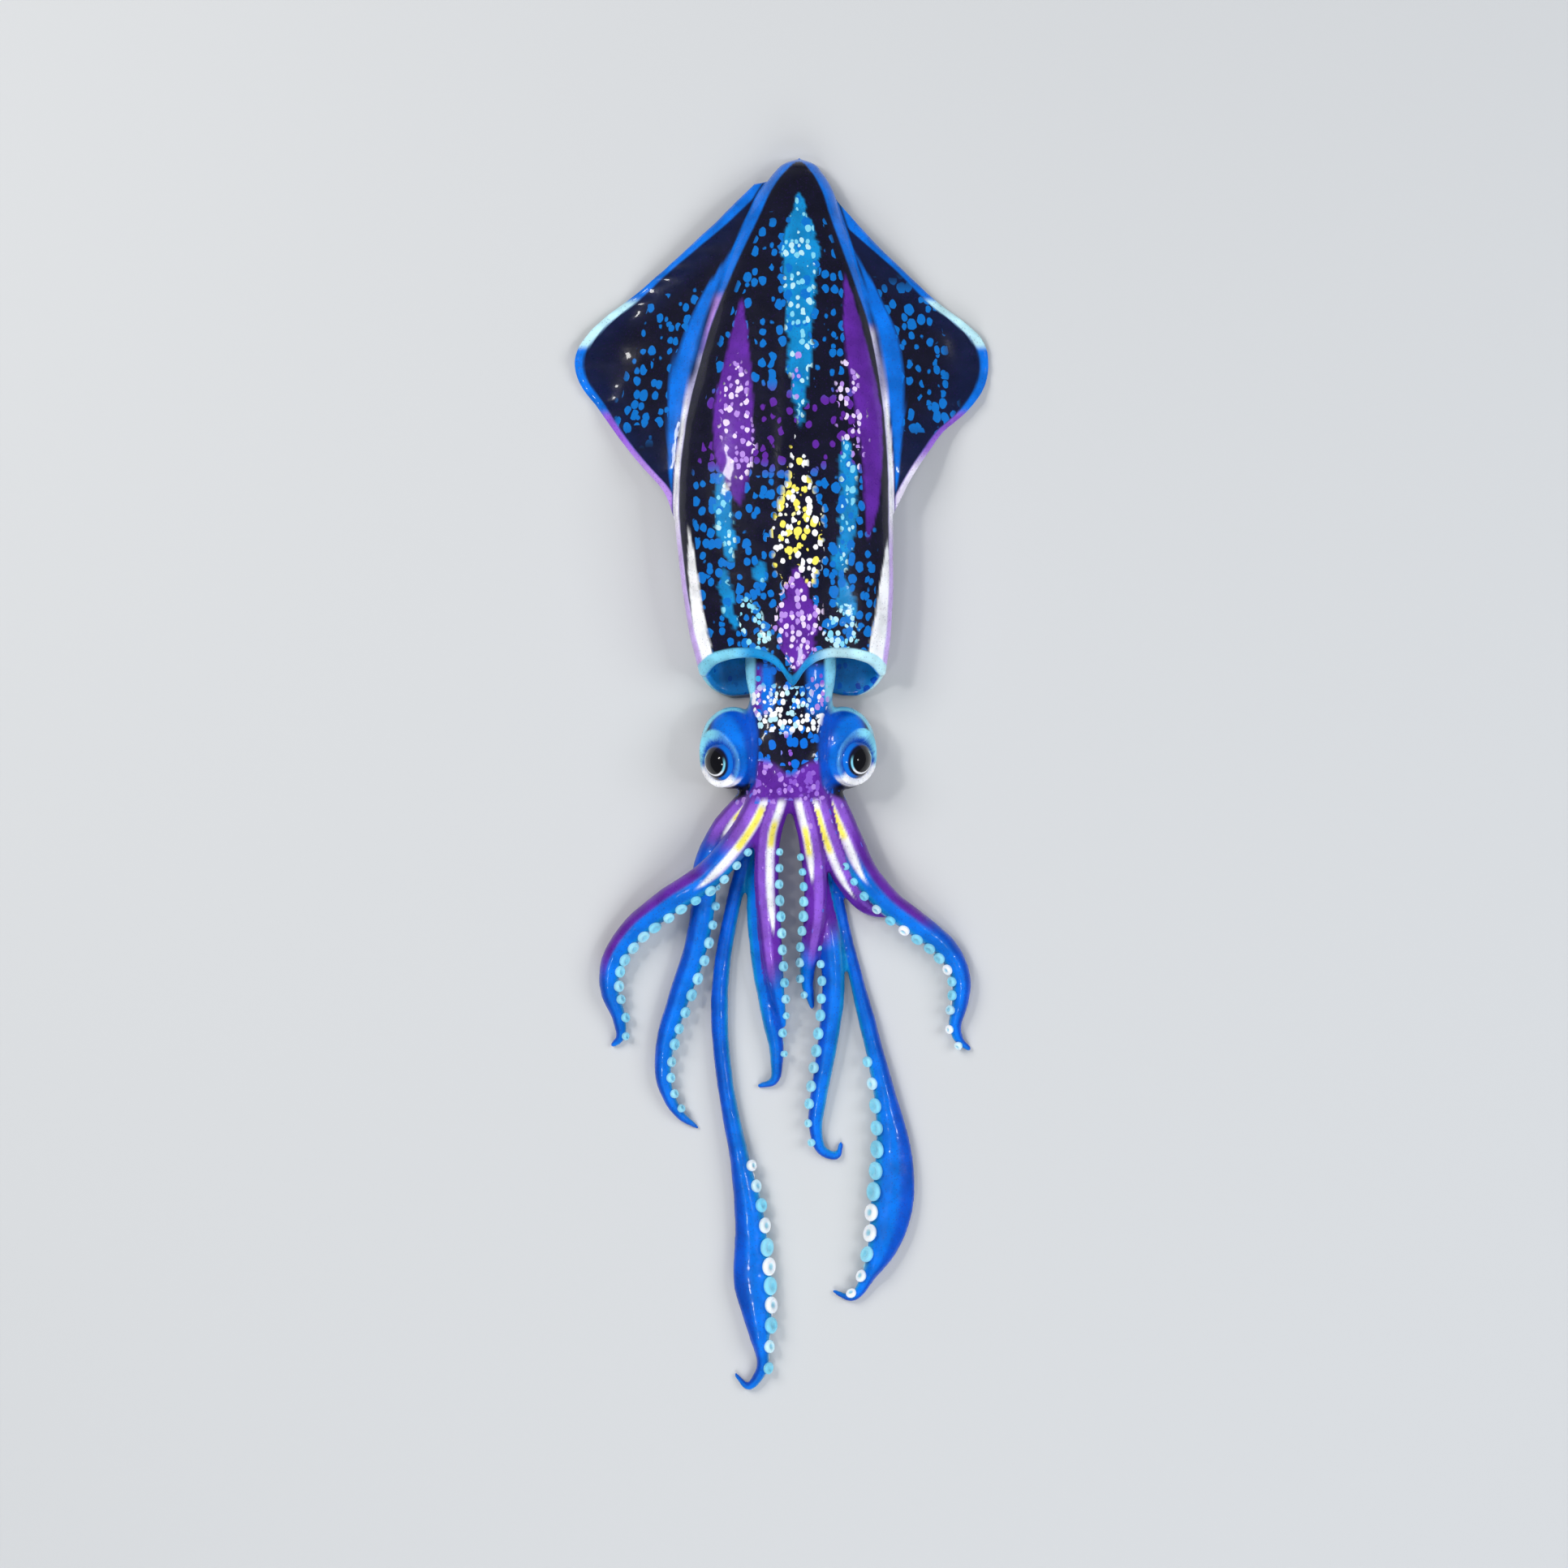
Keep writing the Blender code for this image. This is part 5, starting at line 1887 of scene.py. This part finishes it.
@dataclass
class Eyeball:
    """An eyeball with a round pupil, a pale ring and a clear, bulging front."""

    name: str
    place: EyePlace
    segments: int = 96
    rings: int = 72
    pupil: float = 31.0

    def build(self, material: bpy.types.Material) -> bpy.types.Object:
        """Makes the eyeball.

        Args:
            material: the eye's material.

        Returns:
            The object.
        """
        turned = Vector(self.place.direction()).to_track_quat("Z", "Y").to_matrix().to_4x4()
        placed = Matrix.Translation(self.place.centre) @ turned
        points, faces = sphere_shell(placed, self.place.radius, self.segments, self.rings)
        offset, radius, angle = self.place.polar(points)
        swell = 1 + 0.05 * np.exp(-((angle / math.radians(30)) ** 2))
        points = np.array(self.place.centre) + offset * swell[:, None]
        made = mesh_object(f"{self.name}_ball", points, faces)
        self.paint(made.data, offset / radius[:, None], angle)
        dress(made, material, self.name)
        return made

    def paint(self, mesh: bpy.types.Mesh, offset: Array, angle: Array) -> None:
        """Lays the colours of the pupil and the ring round it.

        Args:
            mesh: the eyeball's mesh.
            offset: the unit direction of each vertex from the centre.
            angle: its angle from where the eye looks.
        """
        degrees = np.degrees(angle)
        below = self.place.toward(offset, (0.4 * self.place.side, -1, 0))
        inner = self.place.toward(offset, (-self.place.side, 0, 0))
        paint = Paint(len(angle), plain(Tint.INK))
        paint.lay(within(degrees, 42, 62, 6) * ease((0.35 - below) / 0.8) * 0.7,
                  plain(Tint.DEEP_BLUE))
        paint.lay(within(degrees, 44, 64, 4) * ease((inner + 0.1) / 0.6), plain(Tint.BLUE))
        ring = within(degrees, self.pupil, self.pupil + 5, 2.0)
        paint.lay(ring * ease((below + 0.75) / 0.6), plain(Tint.CYAN))
        # Painted highlight: the ring round the pupil turns bright on its lower side.
        paint.lay(ring * ease((below - 0.2) / 0.5), plain(Tint.WHITE))
        paint.lay(1 - ease((degrees - self.pupil) / 1.5 + 0.5), plain(Tint.BLACK))
        paint.write(mesh)


@dataclass
class Studio:
    """The pale floor, the soft lights and the camera that looks straight down."""

    target: Point = (0.0011, -0.0037, 0.010)
    frame_width: float = 0.599
    lens: float = 85.0
    sensor: float = 36.0

    def build(self) -> None:
        """Makes everything that isn't part of the squid."""
        self.floor()
        self.light("key", (-0.95, 0.75, 1.15), (0.9, 0.7), 14.0, (1.0, 0.98, 0.95), False)
        self.light("fill", (1.15, 0.15, 1.0), (0.9, 0.7), 9.0, (0.93, 0.96, 1.0), False)
        self.light("low", (0.10, -1.30, 0.85), (0.9, 0.7), 10.0, (0.96, 0.98, 1.0), False)
        self.light("left_glint", (-0.62, 0.34, 1.0), (0.14, 0.10), 2.0, (1.0, 0.99, 0.97), True)
        self.light("right_glint", (0.70, -0.10, 1.0), (0.10, 0.08), 1.0, (0.95, 0.98, 1.0), True)
        self.light("front_glint", (-0.34, -0.42, 1.15), (0.10, 0.10), 1.2, (1.0, 1.0, 1.0), True)
        self.world()
        self.camera()
        bpy.context.scene.view_settings.view_transform = "Standard"

    def floor(self) -> None:
        """A plain pale surface under the squid."""
        mesh = bpy.data.meshes.new("floor")
        half = 6.0
        mesh.from_pydata(
            [(-half, -half, -0.0002), (half, -half, -0.0002), (half, half, -0.0002),
             (-half, half, -0.0002)], [], [(0, 1, 2, 3)],
        )
        made = bpy.data.objects.new("floor", mesh)
        bpy.context.scene.collection.objects.link(made)
        material = bpy.data.materials.new("floor")
        material.use_nodes = True
        shader = material.node_tree.nodes["Principled BSDF"]
        shader.inputs["Base Color"].default_value = (0.62, 0.63, 0.64, 1)
        shader.inputs["Roughness"].default_value = 0.65
        mesh.materials.append(material)

    def light(
        self, name: str, place: Point, size: tuple[float, float], power: float, colour: Point,
        mirrored: bool,
    ) -> None:
        """A soft light aimed at the squid.

        Args:
            name: its name.
            place: where it hangs, in metres.
            size: its length and its width, in metres.
            power: its power, in watts.
            colour: its colour.
            mirrored: whether wet surfaces show its reflection.
        """
        lamp = bpy.data.lights.new(name, "AREA")
        lamp.shape = "RECTANGLE"
        lamp.size, lamp.size_y = size
        lamp.energy = power
        lamp.color = colour
        made = bpy.data.objects.new(name, lamp)
        bpy.context.scene.collection.objects.link(made)
        made.location = place
        made.visible_glossy = mirrored
        made.rotation_mode = "QUATERNION"
        aim = Vector(self.target) - Vector(place)
        made.rotation_quaternion = aim.to_track_quat("-Z", "Y")

    def world(self) -> None:
        """An even, dim surround."""
        world = bpy.data.worlds.new("surround")
        world.use_nodes = True
        surround = world.node_tree.nodes["Background"]
        surround.inputs["Color"].default_value = (0.80, 0.86, 0.95, 1)
        surround.inputs["Strength"].default_value = 0.22
        bpy.context.scene.world = world

    def camera(self) -> None:
        """A camera straight above the squid, with the tail at the top of the picture."""
        data = bpy.data.cameras.new("camera")
        data.lens = self.lens
        data.sensor_width = self.sensor
        data.clip_start = 0.05
        made = bpy.data.objects.new("camera", data)
        bpy.context.scene.collection.objects.link(made)
        distance = self.frame_width * self.lens / self.sensor
        made.location = Vector(self.target) + Vector((0, 0, distance))
        bpy.context.scene.camera = made


def main() -> None:
    """Builds the squid piece by piece, then the studio."""
    Mantle().build(SkinMaterial(MANTLE_FINISH).build())
    Head(LIMBS, EYES).build(SkinMaterial(LIMB_FINISH).build())
    suckers = Suckers({limb.name: limb for limb in LIMBS}, SUCKER_ROWS)
    sucker_flesh = SkinMaterial(SUCKER_FINISH).build()
    for row in SUCKER_ROWS:
        suckers.build_row(row, sucker_flesh)
    eye_finish = SkinMaterial(EYE_FINISH).build()
    for name, place in EYES.items():
        Eyeball(name, place).build(eye_finish)
    Studio().build()


if __name__ == "__main__":
    main()
